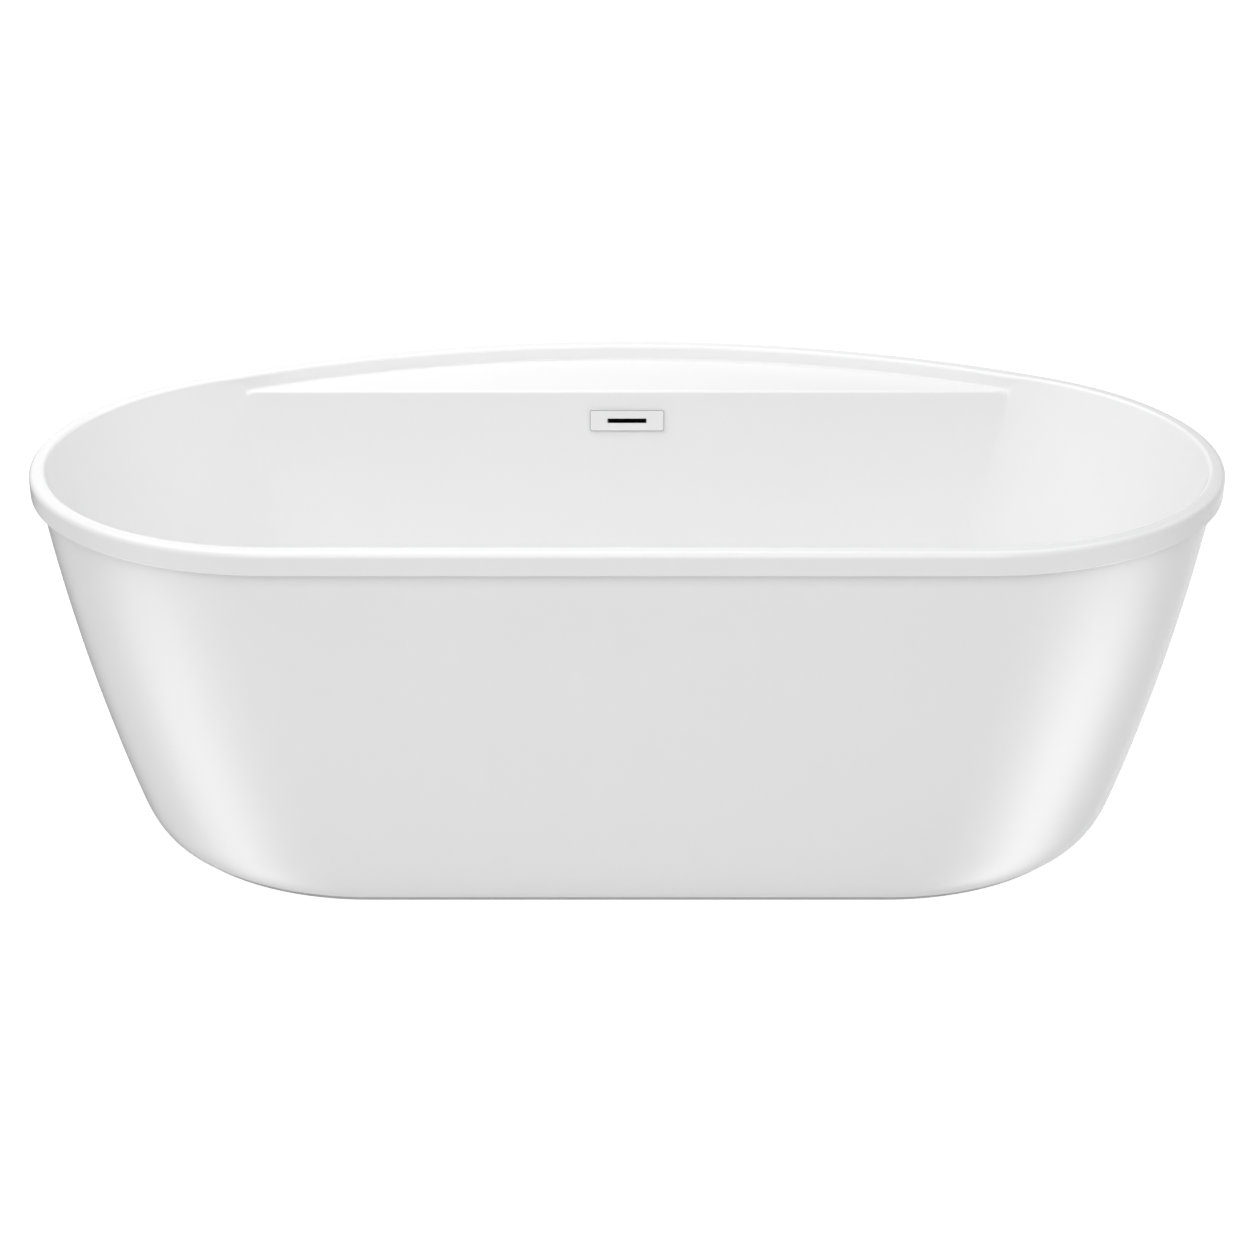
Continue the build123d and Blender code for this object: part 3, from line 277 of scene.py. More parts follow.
def rounded_corner(before, corner, after, radius, steps, rise=1.0):
    """Arc that rounds each point of a corner loop. It starts radius / tan(half the corner's angle) before the
    corner, ends as far after it times rise, and is the rational curve whose middle control point is that
    corner, weighted by the sine of half the angle. One more loop lies a step before it, and one after it."""
    back, on = before - corner, after - corner
    back /= np.linalg.norm(back, axis=1, keepdims=True)
    on /= np.linalg.norm(on, axis=1, keepdims=True)
    cosine = np.sum(back * on, axis=1, keepdims=True)
    reach = radius * np.sqrt((1 + cosine) / (1 - cosine))
    share = np.linspace(0.0, 1.0, steps + 1)[:, None, None]
    first = (1 - share) ** 2
    middle = 2 * share * (1 - share) * np.sqrt((1 - cosine) / 2)
    last = share**2
    arc = first * (corner + back * reach) + middle * corner + last * (corner + on * reach * rise)
    arc /= first + middle + last
    step = reach * (1 + 1 / steps)
    return [corner + back * step, *arc, corner + on * step * rise]


def carried_profile(corners, closed):
    """Loops of a profile carried round a plan, from (loop, radius, steps) of each of its corners, and a rise
    after these where a corner's arc is longer on one side. A corner of no steps is one loop. Returns the
    loops and the row of each corner's first loop."""
    loops, rows = [], []
    for index, (corner, radius, steps, *rise) in enumerate(corners):
        rows.append(len(loops))
        inner = closed or 0 < index < len(corners) - 1
        if steps and inner:
            after = corners[(index + 1) % len(corners)][0]
            loops.extend(rounded_corner(corners[index - 1][0], corner, after, radius, steps, *rise))
        else:
            loops.append(corner)
    return np.array(loops), rows


def plain(loop):
    """A corner of a profile that isn't rounded."""
    return loop, 0.0, 0


def grid_index(loops):
    """Number of each point of a grid of loops."""
    return np.arange(loops.shape[0] * loops.shape[1]).reshape(loops.shape[:2])


def grid_faces(index):
    """Four-cornered faces of a grid that closes on itself both ways: across, then along the profile."""
    across = np.roll(index, -1, axis=1)
    return np.stack([index, across, np.roll(across, -1, axis=0), np.roll(index, -1, axis=0)], axis=-1)


def strip_faces(near, far):
    """Four-cornered faces between two rows of points."""
    return np.stack([near[:-1], near[1:], far[1:], far[:-1]], axis=-1)


def shell(name, loops, faces, slot, *nodes):
    """A smooth piece from its loops and faces, riding on the tub, in place of any CAD nodes given."""
    mesh = bpy.data.meshes.new(name)
    mesh.from_pydata(loops.reshape(-1, 3), [], faces.reshape(-1, 4))
    mesh.shade_smooth()
    mesh.set_sharp_from_angle(angle=SHARP_ANGLE)
    piece = bpy.data.objects.new(name, mesh)
    bpy.context.scene.collection.objects.link(piece)
    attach(piece, "tub")
    if nodes:
        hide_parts(*nodes)
    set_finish(piece, slot)
    return piece


def mark_backing(piece, is_backing):
    """Marks the rows of a shell's loops that are its rough back, as a value from 0 to 1 on each point."""
    per_row = len(piece.data.vertices) // len(is_backing)
    backing = piece.data.attributes.new("backing", "FLOAT", "POINT")
    backing.data.foreach_set("value", np.repeat(is_backing.astype(np.float32), per_row))


def ledge_width():
    """Width of the ledge at each point of a loop, as a column of values."""
    return np.linalg.norm(bowl_loop(LEDGE_Z) - rim_loop(RIM_WIDTH, LEDGE_Z), axis=1, keepdims=True)


def where_ledge(sloping, stepped, fades):
    """Loops that go from the sloping wall of the ends to the stepped wall of the back, by a smooth step of
    the ledge's width between two widths."""
    narrow, wide = fades
    widening = np.clip((ledge_width() - narrow) / (wide - narrow), 0.0, 1.0)
    return between(sloping, stepped, widening * widening * (3 - 2 * widening))


def under_rim_loop(z):
    """Inner face at a height above the ledge: upright behind it, and the bowl's own slope at the ends."""
    return where_ledge(bowl_loop(z), rim_loop(RIM_WIDTH, z), UPRIGHT_FADES)


def ledge_strip():
    """Loops from the wall above the ledge, over its cove and rounded edge, to the bowl wall. At the ends they
    lie in even steps on the bowl's straight slope instead. No rounding takes more than a share of the
    ledge's width."""
    top, foot = LEDGE_Z + FADE_ABOVE, LEDGE_Z - FADE_BELOW
    widest = LEDGE_ROUND_SHARE * ledge_width()
    corners = [
        plain(rim_loop(RIM_WIDTH, top)),
        (rim_loop(RIM_WIDTH, LEDGE_Z), np.minimum(LEDGE_COVE, widest), EDGE_ROUND_STEPS),
        (bowl_loop(LEDGE_Z), np.minimum(LEDGE_EDGE_ROUND, widest), EDGE_ROUND_STEPS),
        plain(bowl_loop(foot)),
    ]
    stepped, _ = carried_profile(corners, closed=False)
    share = np.linspace(0.0, 1.0, len(stepped))[:, None, None]
    return where_ledge(between(bowl_loop(top), bowl_loop(foot), share), stepped, LEDGE_FADES)


def make_basin():
    """Inner shell as one closed sheet: down the bowl, across its floor to the drain hole, back underneath,
    round the rim and over the ledge, with the overflow window cut through both faces of the back wall."""
    window_top, window_foot = OVERFLOW_Z + WINDOW_RISE, OVERFLOW_Z - WINDOW_RISE
    floor_inset = bowl_loop(FLOOR_HEIGHT, -FLOOR_INSET)
    corners = {
        "wall top": plain(bowl_loop(LEDGE_Z - FADE_BELOW)),
        "window top": plain(bowl_loop(window_top)),
        "window foot": plain(bowl_loop(window_foot)),
        "floor edge": (bowl_loop(FLOOR_HEIGHT), FLOOR_ROUND, FLOOR_ROUND_STEPS),
        "floor": plain(floor_inset),
        "drain top": plain(drain_loop(floor_inset, FLOOR_HEIGHT)),
        "drain bottom": plain(drain_loop(floor_inset, FLOOR_UNDERSIDE)),
        "underside": plain(bowl_loop(FLOOR_HEIGHT, -FLOOR_INSET, FLOOR_UNDERSIDE)),
        "under edge": (bowl_loop(FLOOR_UNDERSIDE, ACRYLIC), FLOOR_ROUND + ACRYLIC, FLOOR_ROUND_STEPS),
        "back window foot": plain(bowl_loop(window_foot, ACRYLIC)),
        "back window top": plain(bowl_loop(window_top, ACRYLIC)),
        "under ledge edge": plain(bowl_loop(LEDGE_Z - ACRYLIC, ACRYLIC)),
        "under ledge": plain(rim_loop(RIM_WIDTH - ACRYLIC, LEDGE_Z - ACRYLIC)),
        "under rim": plain(rim_loop(RIM_WIDTH - ACRYLIC, RIM_UNDERSIDE)),
        "band inside": plain(rim_loop(ACRYLIC, RIM_UNDERSIDE)),
        "band inner foot": (rim_loop(ACRYLIC, BAND_BOTTOM), BAND_EDGE_ROUND, SMALL_ROUND_STEPS),
        "band foot": (rim_loop(0.0, BAND_BOTTOM), BAND_EDGE_ROUND, SMALL_ROUND_STEPS),
        "rim outer": (rim_loop(0.0, RIM_TOP), RIM_OUTER_ROUND, EDGE_ROUND_STEPS),
        "rim inner": (under_rim_loop(RIM_TOP), RIM_INNER_ROUND, EDGE_ROUND_STEPS),
        "pocket wall": plain(under_rim_loop(LEDGE_Z + FADE_ABOVE)),
    }
    profile, rows = carried_profile(list(corners.values()), closed=False)
    row = dict(zip(corners, rows))
    loops = np.concatenate([profile, ledge_strip()[1:-1]])
    index = grid_index(loops)
    faces = grid_faces(index)

    # The window: its faces leave the wall, and four strips join the edges of the two holes
    middle = loops.shape[1] // 2
    span = np.arange(middle - WINDOW_POINTS, middle + WINDOW_POINTS + 1)
    right, left = span[0], span[-1]
    top, foot = row["window top"], row["window foot"]
    back_top, back_foot = row["back window top"], row["back window foot"]
    kept = np.ones(faces.shape[:2], bool)
    kept[top:foot, right:left] = False
    kept[back_foot:back_top, right:left] = False
    lining = [
        strip_faces(index[top, span], index[back_top, span]),
        strip_faces(index[foot, span[::-1]], index[back_foot, span[::-1]]),
        strip_faces(index[[foot, top], right], index[[back_foot, back_top], right]),
        strip_faces(index[[top, foot], left], index[[back_top, back_foot], left]),
    ]
    basin = shell("basin_shell", loops, np.concatenate([faces[kept], *lining]), "acrylic", "basin")
    rows_of_loops = np.arange(len(loops))
    mark_backing(basin, (rows_of_loops >= row["drain bottom"]) & (rows_of_loops < row["band inner foot"]))
    return basin


def make_skirt():
    """Outer shell as one closed sheet: out along the flange, up the bowed wall and back down inside it."""
    outer_z = np.linspace(SKIRT_BOTTOM + SKIRT_EDGE_REACH, SKIRT_TOP, SKIRT_OUTER_LOOPS)
    inner_z = np.linspace(SKIRT_TOP, FLANGE_TOP + SKIRT_EDGE_REACH, SKIRT_INNER_LOOPS)
    flange_inside = skirt_loop(SKIRT_FLANGE, SKIRT_BOTTOM)
    inner_rise = (SKIRT_EDGE_ROUND - SKIRT_WALL) * SKIRT_EDGE_RISE
    corners = [
        plain(flange_inside),
        (skirt_loop(0.0, SKIRT_BOTTOM), SKIRT_EDGE_ROUND, FLOOR_ROUND_STEPS, SKIRT_EDGE_RISE),
        *[plain(skirt_loop(0.0, z)) for z in outer_z],
        *[plain(skirt_loop(SKIRT_WALL, z)) for z in inner_z],
        (skirt_loop(SKIRT_WALL, FLANGE_TOP), inner_rise, FLOOR_ROUND_STEPS, 1 / SKIRT_EDGE_RISE),
        plain(flange_inside + (0.0, 0.0, SKIRT_WALL)),
    ]
    loops, rows = carried_profile(corners, closed=True)
    skirt = shell("skirt_shell", loops, grid_faces(grid_index(loops)), "acrylic", "skirt")
    mark_backing(skirt, np.arange(len(loops)) >= rows[2 + SKIRT_OUTER_LOOPS])
    return skirt


def wall_loop(length, height, corner, out):
    """Rectangle with round corners, centred on the overflow and a distance out from the leaning back wall."""
    quarter = np.arange(4)[:, None] * pi / 2
    angles = (quarter + np.linspace(0.0, pi / 2, COVER_CORNER_POINTS)).ravel()
    turn = (quarter + pi / 4 + np.zeros(COVER_CORNER_POINTS)).ravel()
    along = np.sign(np.cos(turn)) * (length / 2 - corner) + corner * np.cos(angles)
    up = np.sign(np.sin(turn)) * (height / 2 - corner) + corner * np.sin(angles)
    y = OVERFLOW_Y + up * sin(BACK_LEAN) - out * cos(BACK_LEAN)
    z = OVERFLOW_Z + up * cos(BACK_LEAN) + out * sin(BACK_LEAN)
    return np.column_stack([along, y, z])


def make_overflow_cover():
    """Thin plate with one slot on an undercut foot, so that a narrow shadow runs round it: up the foot, out
    to the plate's edge, across its front, through the slot and back inside."""
    plate = COVER_LENGTH, COVER_HEIGHT, COVER_CORNER
    foot = COVER_LENGTH - 2 * COVER_UNDERCUT, COVER_HEIGHT - 2 * COVER_UNDERCUT, COVER_CORNER
    inside = foot[0] - 2 * COVER_WALL, foot[1] - 2 * COVER_WALL, COVER_CORNER
    slot = SLOT_LENGTH, SLOT_HEIGHT, SLOT_CORNER
    corners = [
        plain(wall_loop(*foot, 0.0)),
        plain(wall_loop(*plate, COVER_PROUD - COVER_PLATE)),
        (wall_loop(*plate, COVER_PROUD), COVER_EDGE_ROUND, SMALL_ROUND_STEPS),
        (wall_loop(*slot, COVER_PROUD), SLOT_EDGE_ROUND, SMALL_ROUND_STEPS),
        plain(wall_loop(*slot, COVER_PROUD - COVER_WALL)),
        plain(wall_loop(*inside, COVER_PROUD - COVER_WALL)),
        plain(wall_loop(*inside, 0.0)),
    ]
    loops, _ = carried_profile(corners, closed=True)
    faces = grid_faces(grid_index(loops))
    return shell("overflow_cover_plate", loops, faces, "trim", "overflow_cover")


def make_cover_shade_lip():
    """Thin dark ring round the edge of the overflow plate, a flat section carried round it, in the black
    rubber finish: painted shade that stands in for the shadow gap round the plate.
    """
    inner = COVER_LENGTH, COVER_HEIGHT, COVER_CORNER
    outer = COVER_LENGTH + 2 * COVER_SHADE_LIP, COVER_HEIGHT + 2 * COVER_SHADE_LIP, COVER_CORNER + COVER_SHADE_LIP
    front, back = COVER_PROUD - COVER_EDGE_ROUND, COVER_PROUD - COVER_PLATE
    corners = [
        plain(wall_loop(*inner, back)),
        plain(wall_loop(*outer, back)),
        plain(wall_loop(*outer, front)),
        plain(wall_loop(*inner, front)),
    ]
    loops, _ = carried_profile(corners, closed=True)
    return shell("overflow_cover_shade_lip", loops, grid_faces(grid_index(loops)), "gasket")


# Numbers of a colour Mix node's sockets and of its colour output
MIX_SHARE, MIX_FIRST, MIX_SECOND = 0, 6, 7
MIX_COLOUR = 2


class Socket:
    """A shader socket that takes plain arithmetic: each operator adds the Math node that works it out."""

    def __init__(self, tree, socket=None):
        self.tree = tree
        self.socket = socket

    def node(self, kind, sockets=None, output=0, **settings):
        """Adds a node with its settings, then gives its sockets values or links, and returns one output."""
        node = self.tree.nodes.new(kind)
        for name, setting in settings.items():
            setattr(node, name, setting)
        for name, value in (sockets or {}).items():
            if isinstance(value, Socket):
                self.tree.links.new(value.socket, node.inputs[name])
            else:
                node.inputs[name].default_value = value
        return Socket(self.tree, node.outputs[output])

    def math(self, operation, first, second):
        """Adds a Math node that works on two values."""
        return self.node("ShaderNodeMath", {0: first, 1: second}, operation=operation)

    def mix(self, first, second):
        """Colour that goes from first to second as this value goes from 0 to 1."""
        sockets = {MIX_SHARE: self, MIX_FIRST: first, MIX_SECOND: second}
        return self.node("ShaderNodeMix", sockets, MIX_COLOUR, data_type="RGBA")

    def smooth_step(self, limits, start=0.0, end=1.0):
        """Goes smoothly from start to end as this value goes from one limit to the other."""
        limits = {"From Min": limits[0], "From Max": limits[1], "To Min": start, "To Max": end}
        return self.node("ShaderNodeMapRange", {"Value": self, **limits}, interpolation_type="SMOOTHSTEP")

    def feeds(self, node, name):
        """Links this to an input of a node."""
        self.tree.links.new(self.socket, node.inputs[name])

    def __add__(self, other):
        return self.math("ADD", self, other)

    __radd__ = __add__

    def __sub__(self, other):
        return self.math("SUBTRACT", self, other)

    def __rsub__(self, other):
        return self.math("SUBTRACT", other, self)

    def __mul__(self, other):
        return self.math("MULTIPLY", self, other)

    __rmul__ = __mul__

    def __pow__(self, other):
        return self.math("POWER", self, other)


def grey(level):
    """A neutral colour of one brightness."""
    return level, level, level, 1.0


class Finish:
    """A procedural material on the piece's own coordinates in metres."""

    def __init__(self, name, ior=1.5, metallic=0.0):
        self.material = bpy.data.materials.new(name)
        self.material.use_nodes = True
        self.surface = self.material.node_tree.nodes["Principled BSDF"]
        self.surface.inputs["IOR"].default_value = ior
        self.surface.inputs["Metallic"].default_value = metallic
        self.tree = Socket(self.material.node_tree)
        self.place = self.tree.node("ShaderNodeTexCoord", output="Object")

    def noise(self, per_metre, detail=2.0, stretch=(1.0, 1.0, 1.0)):
        """Soft blotches, so many to a metre, drawn out along an axis where its stretch is below 1."""
        place = self.tree.node("ShaderNodeMapping", {"Vector": self.place, "Scale": stretch})
        return self.tree.node("ShaderNodeTexNoise", {"Vector": place, "Scale": per_metre, "Detail": detail})

    def cells(self, per_metre, output=0):
        """Voronoi cells, so many to a metre: the distance to their centres, or their colours."""
        return self.tree.node("ShaderNodeTexVoronoi", {"Vector": self.place, "Scale": per_metre}, output)

    def paint(self, colour, roughness, height=None, depth=0.0):
        """Feeds the surface its colour and roughness, and a bump of a real depth."""
        colour.feeds(self.surface, "Base Color")
        roughness.feeds(self.surface, "Roughness")
        if height is not None:
            bump = self.tree.node("ShaderNodeBump", {"Height": height, "Distance": depth, "Strength": 1.0})
            bump.feeds(self.surface, "Normal")
        return self.material


def acrylic_finish():
    """Glossy white acrylic with the slow waves of a formed sheet, and chopped glass fibre in resin behind."""
    finish = Finish("white_acrylic", ior=1.49)
    backing = finish.tree.node("ShaderNodeAttribute", output="Fac", attribute_name="backing")
    wave = finish.noise(per_metre=5.0)
    haze = finish.noise(per_metre=60.0, detail=3.0)
    fibre = finish.noise(per_metre=90.0, detail=6.0, stretch=(1.0, 0.25, 1.0))
    resin = finish.noise(per_metre=14.0, detail=4.0)
    white = wave.mix(grey(0.875), grey(0.885))
    mat = (0.5 * fibre + 0.5 * resin).mix((0.62, 0.58, 0.47, 1.0), (0.80, 0.78, 0.70, 1.0))
    face_roughness = 0.20 + 0.03 * haze + 0.02 * wave
    roughness = face_roughness + backing * (0.62 - face_roughness)
    height = wave + backing * (2.0 * fibre - wave)
    return finish.paint(backing.mix(white, mat), roughness, height=height, depth=0.0004)


def adhesive_finish():
    """Off-white bonding paste with a smeared surface."""
    finish = Finish("bonding_paste")
    smear = finish.noise(per_metre=45.0, detail=4.0, stretch=(0.4, 0.4, 1.0))
    colour = smear.mix((0.56, 0.56, 0.53, 1.0), (0.66, 0.66, 0.63, 1.0))
    return finish.paint(colour, 0.55 + 0.2 * smear, height=smear, depth=0.0006)


def seal_finish():
    """Pale grey sealing strip, matt, with faint scuffs."""
    finish = Finish("sealing_strip")
    scuff = finish.noise(per_metre=120.0, detail=4.0)
    colour = scuff.mix(grey(0.52), grey(0.60))
    return finish.paint(colour, 0.5 + 0.25 * scuff, height=scuff, depth=0.0002)


def board_finish():
    """Raw plywood: long grain along the tub and fine pores."""
    finish = Finish("plywood")
    grain = finish.noise(per_metre=30.0, detail=5.0, stretch=(0.08, 1.0, 1.0))
    pores = finish.noise(per_metre=260.0, detail=3.0, stretch=(0.06, 1.0, 1.0))
    figure = 0.7 * grain + 0.3 * pores
    colour = figure.mix((0.42, 0.29, 0.16, 1.0), (0.78, 0.63, 0.43, 1.0))
    return finish.paint(colour, 0.55 + 0.25 * pores, height=pores, depth=0.0004)


def galvanised_finish():
    """Hot-dip galvanised steel with its frosty spangle."""
    finish = Finish("galvanised_steel", metallic=1.0)
    spangle = finish.cells(per_metre=110.0, output="Color")
    shade = finish.noise(per_metre=40.0, detail=3.0)
    tone = 0.6 * shade + 0.4 * finish.tree.node("ShaderNodeRGBToBW", {0: spangle})
    colour = tone.mix((0.48, 0.50, 0.52, 1.0), (0.74, 0.76, 0.78, 1.0))
    return finish.paint(colour, 0.34 + 0.22 * tone, height=tone, depth=0.0001)


def zinc_finish():
    """Bright zinc plating on turned and pressed steel."""
    finish = Finish("zinc_plate", metallic=1.0)
    bloom = finish.noise(per_metre=160.0, detail=3.0)
    colour = bloom.mix((0.66, 0.66, 0.62, 1.0), (0.80, 0.80, 0.80, 1.0))
    return finish.paint(colour, 0.24 + 0.16 * bloom, height=bloom, depth=0.00005)


def pad_finish():
    """Black moulded foot pad with a fine spark-eroded grain."""
    finish = Finish("black_foot_plastic")
    grain = finish.noise(per_metre=1400.0, detail=2.0)
    colour = grain.mix(grey(0.018), grey(0.032))
    return finish.paint(colour, 0.5 + 0.15 * grain, height=grain, depth=0.00008)


def chrome_finish():
    """Chrome plate with faint water spots."""
    finish = Finish("chrome_plate", metallic=1.0)
    spots = finish.noise(per_metre=220.0, detail=3.0)
    colour = spots.mix((0.74, 0.75, 0.77, 1.0), (0.83, 0.84, 0.86, 1.0))
    return finish.paint(colour, 0.05 + 0.08 * spots**2.0, height=spots, depth=0.00002)


def brass_finish():
    """Turned brass with fine tool rings up its height and a little tarnish."""
    finish = Finish("turned_brass", metallic=1.0)
    rings = finish.noise(per_metre=900.0, detail=1.0, stretch=(0.02, 0.02, 1.0))
    tarnish = finish.noise(per_metre=70.0, detail=4.0)
    colour = tarnish.mix((0.50, 0.34, 0.13, 1.0), (0.80, 0.62, 0.30, 1.0))
    return finish.paint(colour, 0.22 + 0.15 * tarnish + 0.1 * rings, height=rings, depth=0.00006)


def gasket_finish():
    """Black rubber with a dusty bloom."""
    finish = Finish("black_rubber")
    dust = finish.noise(per_metre=180.0, detail=4.0)
    colour = dust.mix(grey(0.012), grey(0.035))
    return finish.paint(colour, 0.6 + 0.2 * dust, height=dust, depth=0.0001)


def nylon_finish():
    """Milky nylon washer."""
    finish = Finish("milky_nylon")
    cloud = finish.noise(per_metre=90.0, detail=3.0)
    colour = cloud.mix((0.74, 0.73, 0.66, 1.0), (0.83, 0.82, 0.76, 1.0))
    return finish.paint(colour, 0.4 + 0.12 * cloud, height=cloud, depth=0.00005)


def pipe_finish():
    """Black waste-pipe plastic with a satin moulded skin."""
    finish = Finish("black_pipe_plastic")
    flow = finish.noise(per_metre=25.0, detail=3.0)
    grain = finish.noise(per_metre=900.0, detail=2.0)
    colour = flow.mix(grey(0.010), grey(0.018))
    return finish.paint(colour, 0.34 + 0.12 * flow + 0.08 * grain, height=grain, depth=0.00006)


def trim_finish():
    """Glossy white moulded trim with a trace of moulding waves."""
    finish = Finish("white_trim_plastic", ior=1.49)
    wave = finish.noise(per_metre=70.0, detail=2.0)
    colour = wave.mix(grey(0.87), grey(0.89))
    return finish.paint(colour, 0.16 + 0.08 * wave, height=wave, depth=0.00004)


def bracket_finish():
    """Stainless strip brushed along its length."""
    finish = Finish("brushed_stainless", metallic=1.0)
    brushing = finish.noise(per_metre=1200.0, detail=2.0, stretch=(0.02, 1.0, 1.0))
    colour = brushing.mix(grey(0.46), grey(0.64))
    return finish.paint(colour, 0.28 + 0.14 * brushing, height=brushing, depth=0.00004)


FINISHES = {
    "acrylic": acrylic_finish(),
    "adhesive": adhesive_finish(),
    "seal": seal_finish(),
    "board": board_finish(),
    "galvanised": galvanised_finish(),
    "zinc": zinc_finish(),
    "pad": pad_finish(),
    "drain_chrome": chrome_finish(),
    "drain_brass": brass_finish(),
    "gasket": gasket_finish(),
    "nylon": nylon_finish(),
    "pipe": pipe_finish(),
    "trim": trim_finish(),
    "bracket_steel": bracket_finish(),
}

for subpart in frame["record"]["subparts"]:
    node = frame["nodes"][subpart["node"]]
    node.material_slots[0].material = FINISHES[subpart["material_slot"]]
# The dark ring round the overflow plate is painted shade for the shadow gap round it
for piece in (make_basin(), make_skirt(), make_overflow_cover(), make_cover_shade_lip()):
    piece.data.materials.append(FINISHES[piece["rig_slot"]])

# Studio: white floor and surroundings, with broad soft lights overhead, behind and in front
FLOOR_SIZE = 40.0
FLOOR_GAP = 0.0005
FLOOR_WHITE = 0.9
FLOOR_GLOW = 0.7
FLOOR_GLOW_STRENGTH = 1.32
SURROUND_LIGHT = 0.37

# Strips and screens that only gloss sees: strength, turn away from the front, and narrowness
LEFT_STRIP = 3.5
LEFT_STRIP_TURN = radians(-70)
LEFT_STRIP_NARROWNESS = 9.5
RIGHT_STRIP = 4.6
RIGHT_STRIP_TURN = radians(73.5)
RIGHT_STRIP_NARROWNESS = 8.0
LEFT_SCREEN = 0.95
LEFT_SCREEN_TURN = radians(-161)
LEFT_SCREEN_NARROWNESS = 12.0
RIGHT_SCREEN = 0.85
RIGHT_SCREEN_TURN = radians(161)
RIGHT_SCREEN_NARROWNESS = 36.0
FRONT_SCREEN = 0.95
FRONT_SCREEN_TURN = 0.0
FRONT_SCREEN_NARROWNESS = 4.0

# Heights between which they fade, as the sine of the angle above level, and what is left above these
STRIP_FADES = (-0.54, -0.40)
LOW_FADES = (-0.25, 0.05)
LOW_LEFT_OVER = 0.12
STEEP_FADES = (-0.95, -0.78)
FRONT_FADES = (-0.54, -0.40)

# Soft lights: place, size and power
TOP_LIGHT_PLACE = (-1.0, 0.0, 2.6)
TOP_LIGHT_SIZE = (1.6, 2.4)
TOP_LIGHT_POWER = 18.5
BACK_LIGHT_PLACE = (0.0, 1.1, 2.4)
BACK_LIGHT_SIZE = (3.0, 1.2)
BACK_LIGHT_POWER = 18.5
FRONT_LIGHT_PLACE = (0.0, -2.7, 2.7)
FRONT_LIGHT_SIZE = (3.0, 2.6)
FRONT_LIGHT_POWER = 51.5


def light_path(tree, kind):
    """1 for rays of one kind, else 0."""
    return tree.node("ShaderNodeLightPath", output=f"Is {kind} Ray")


def make_floor():
    """Level white floor that glows a little where it is seen, so it stays white and keeps the tub's shadow.
    Gloss looks through it to the white surroundings."""
    half = FLOOR_SIZE / 2
    corners = np.array([(-half, -half), (half, -half), (half, half), (-half, half)])
    mesh = bpy.data.meshes.new("studio_floor")
    mesh.from_pydata(np.column_stack([corners, np.full(4, -FLOOR_GAP)]), [], [(0, 1, 2, 3)])
    floor = bpy.data.objects.new("studio_floor", mesh)
    bpy.context.scene.collection.objects.link(floor)
    material = bpy.data.materials.new("studio_floor_white")
    material.use_nodes = True
    nodes = material.node_tree.nodes
    nodes.remove(nodes["Principled BSDF"])
    tree = Socket(material.node_tree)
    matt = tree.node("ShaderNodeBsdfDiffuse", {"Color": grey(FLOOR_WHITE)})
    glow = tree.node("ShaderNodeEmission", {"Color": grey(1.0), "Strength": FLOOR_GLOW_STRENGTH})
    seen = light_path(tree, "Camera") + light_path(tree, "Transmission")
    lit = tree.node("ShaderNodeMixShader", {0: seen * FLOOR_GLOW, 1: matt, 2: glow})
    clear = tree.node("ShaderNodeBsdfTransparent")
    below = tree.node("ShaderNodeNewGeometry", output="Backfacing")
    through = tree.math("MAXIMUM", below, light_path(tree, "Glossy"))
    surface = tree.node("ShaderNodeMixShader", {0: through, 1: lit, 2: clear})
    surface.feeds(nodes["Material Output"], "Surface")
    mesh.materials.append(material)


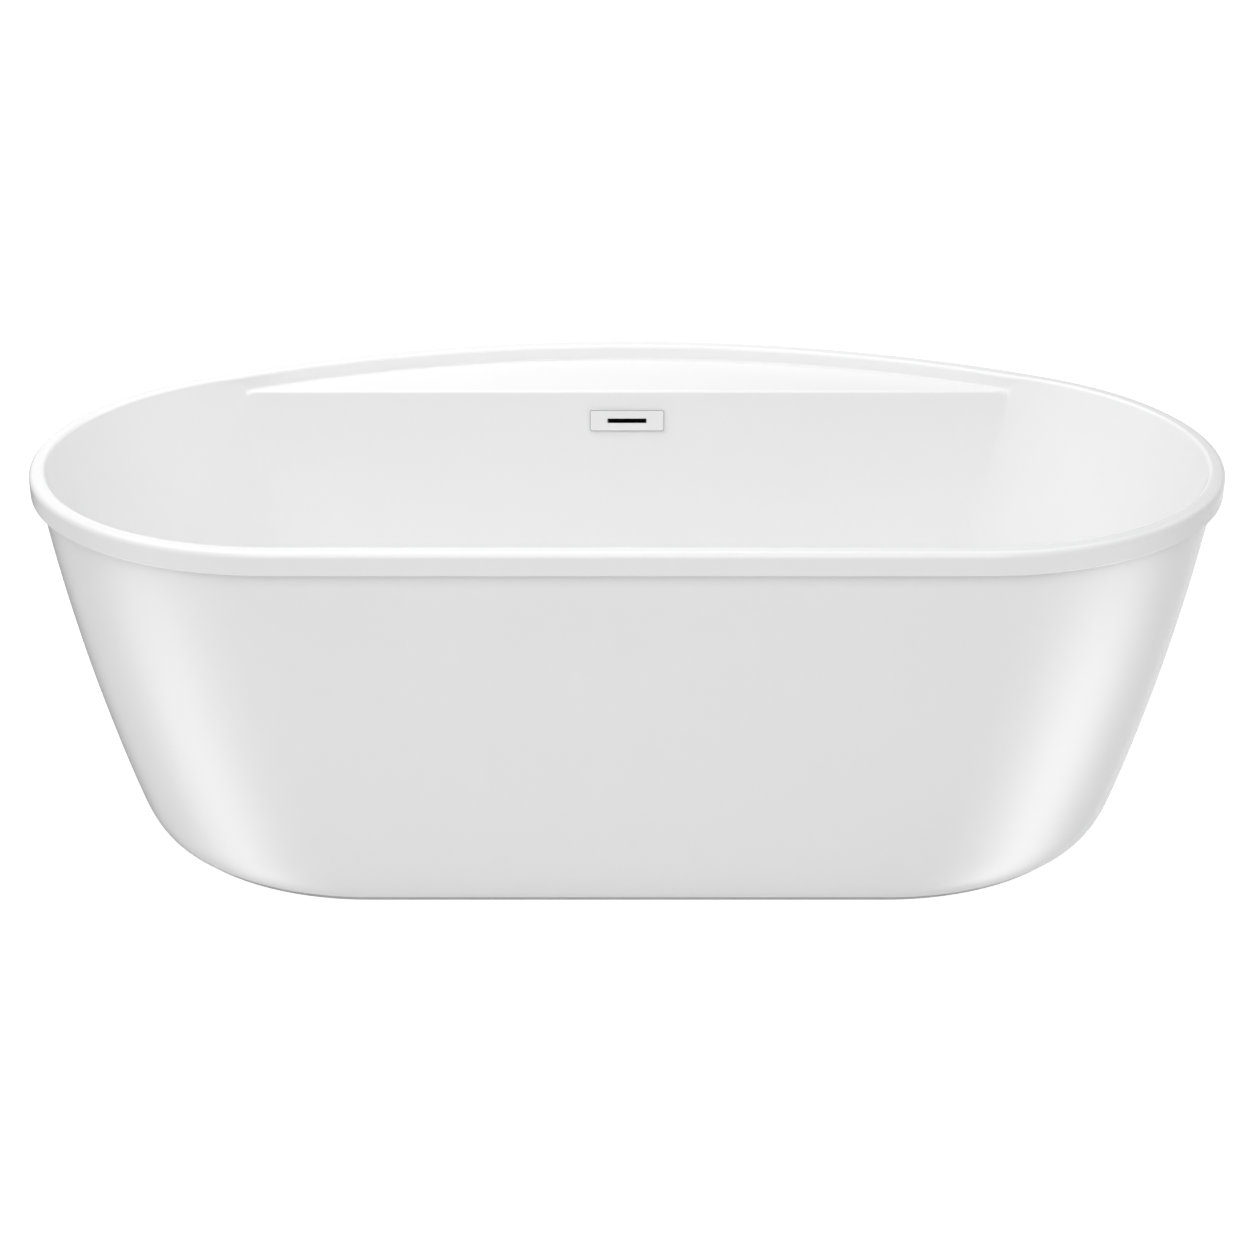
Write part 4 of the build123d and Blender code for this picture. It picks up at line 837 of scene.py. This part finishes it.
def make_surroundings():
    """White all round where it is seen, and a lower even light on the object. For the gloss, a soft strip
    light stands low at each end, and grey screens stand low in front, low behind the left end and high behind
    the right end. None of the low ones reaches straight down."""
    world = bpy.data.worlds.new("studio_surroundings")
    world.use_nodes = True
    bpy.context.scene.world = world
    nodes = world.node_tree.nodes
    nodes.remove(nodes["Background"])
    tree = Socket(world.node_tree)
    toward = tree.node("ShaderNodeTexCoord", output="Generated")
    level = tree.node("ShaderNodeVectorMath", {0: toward, 1: (1.0, 1.0, 0.0)}, operation="MULTIPLY")
    heading = tree.node("ShaderNodeVectorMath", {0: level}, operation="NORMALIZE")
    height = tree.node("ShaderNodeSeparateXYZ", {0: toward}, output="Z")

    def around(turn, narrowness):
        """A power of the cosine of the heading's angle to a turn away from the front."""
        both = {0: heading, 1: (sin(turn), -cos(turn), 0.0)}
        facing = tree.node("ShaderNodeVectorMath", both, output="Value", operation="DOT_PRODUCT")
        return tree.math("MAXIMUM", facing, 0.0) ** narrowness

    left_strip = LEFT_STRIP * around(LEFT_STRIP_TURN, LEFT_STRIP_NARROWNESS)
    right_strip = RIGHT_STRIP * around(RIGHT_STRIP_TURN, RIGHT_STRIP_NARROWNESS)
    left_screen = LEFT_SCREEN * around(LEFT_SCREEN_TURN, LEFT_SCREEN_NARROWNESS)
    right_screen = RIGHT_SCREEN * around(RIGHT_SCREEN_TURN, RIGHT_SCREEN_NARROWNESS)
    front_screen = FRONT_SCREEN * around(FRONT_SCREEN_TURN, FRONT_SCREEN_NARROWNESS)
    near_floor = height.smooth_step(STRIP_FADES, start=1.0, end=LOW_LEFT_OVER)
    low = height.smooth_step(LOW_FADES, start=1.0, end=LOW_LEFT_OVER)
    at_ends = near_floor * (left_strip + right_strip) - low * left_screen
    in_front = height.smooth_step(FRONT_FADES) * front_screen
    gloss = height.smooth_step(STEEP_FADES) * at_ends - low * in_front - (1.0 - low) * right_screen

    seen = light_path(tree, "Camera") + light_path(tree, "Transmission")
    glossy = light_path(tree, "Glossy")
    white = tree.math("MINIMUM", seen + glossy, 1.0)
    strength = SURROUND_LIGHT + white * (1.0 - SURROUND_LIGHT) + glossy * gloss
    background = tree.node("ShaderNodeBackground", {"Color": grey(1.0), "Strength": strength})
    background.feeds(nodes["World Output"], "Surface")


def make_softbox(name, place, target, size, power):
    """A rectangular soft light that faces a point."""
    lamp = bpy.data.lights.new(name, "AREA")
    lamp.shape = "RECTANGLE"
    lamp.size, lamp.size_y = size
    lamp.energy = power
    softbox = bpy.data.objects.new(name, lamp)
    softbox.location = place
    softbox.rotation_euler = (Vector(target) - Vector(place)).to_track_quat("-Z", "Y").to_euler()
    softbox.visible_camera = False
    bpy.context.scene.collection.objects.link(softbox)


make_floor()
make_surroundings()
tub_middle = (0.0, 0.0, RIM_TOP / 2)
make_softbox("top_softbox", TOP_LIGHT_PLACE, tub_middle, TOP_LIGHT_SIZE, TOP_LIGHT_POWER)
make_softbox("back_softbox", BACK_LIGHT_PLACE, tub_middle, BACK_LIGHT_SIZE, BACK_LIGHT_POWER)
make_softbox("front_softbox", FRONT_LIGHT_PLACE, tub_middle, FRONT_LIGHT_SIZE, FRONT_LIGHT_POWER)

# Camera of the photograph, whose picture is square
IMAGE_SIZE = 1260
EYE = (0.0, -2.978, 1.593)
LOOK_DOWN = radians(24.48)
FOCAL_LENGTH = 62.196
SENSOR = 36.0
SHIFT_RIGHT = 3 / IMAGE_SIZE
SHIFT_DOWN = 10 / IMAGE_SIZE

camera = bpy.data.cameras.new("photo_camera")
camera.sensor_width = SENSOR
camera.lens = FOCAL_LENGTH
camera.shift_x = SHIFT_RIGHT
camera.shift_y = -SHIFT_DOWN
viewpoint = bpy.data.objects.new("photo_camera", camera)
viewpoint.location = EYE
viewpoint.rotation_euler = (pi / 2 - LOOK_DOWN, 0.0, 0.0)
bpy.context.scene.collection.objects.link(viewpoint)
bpy.context.scene.camera = viewpoint
bpy.context.scene.view_settings.view_transform = "Standard"
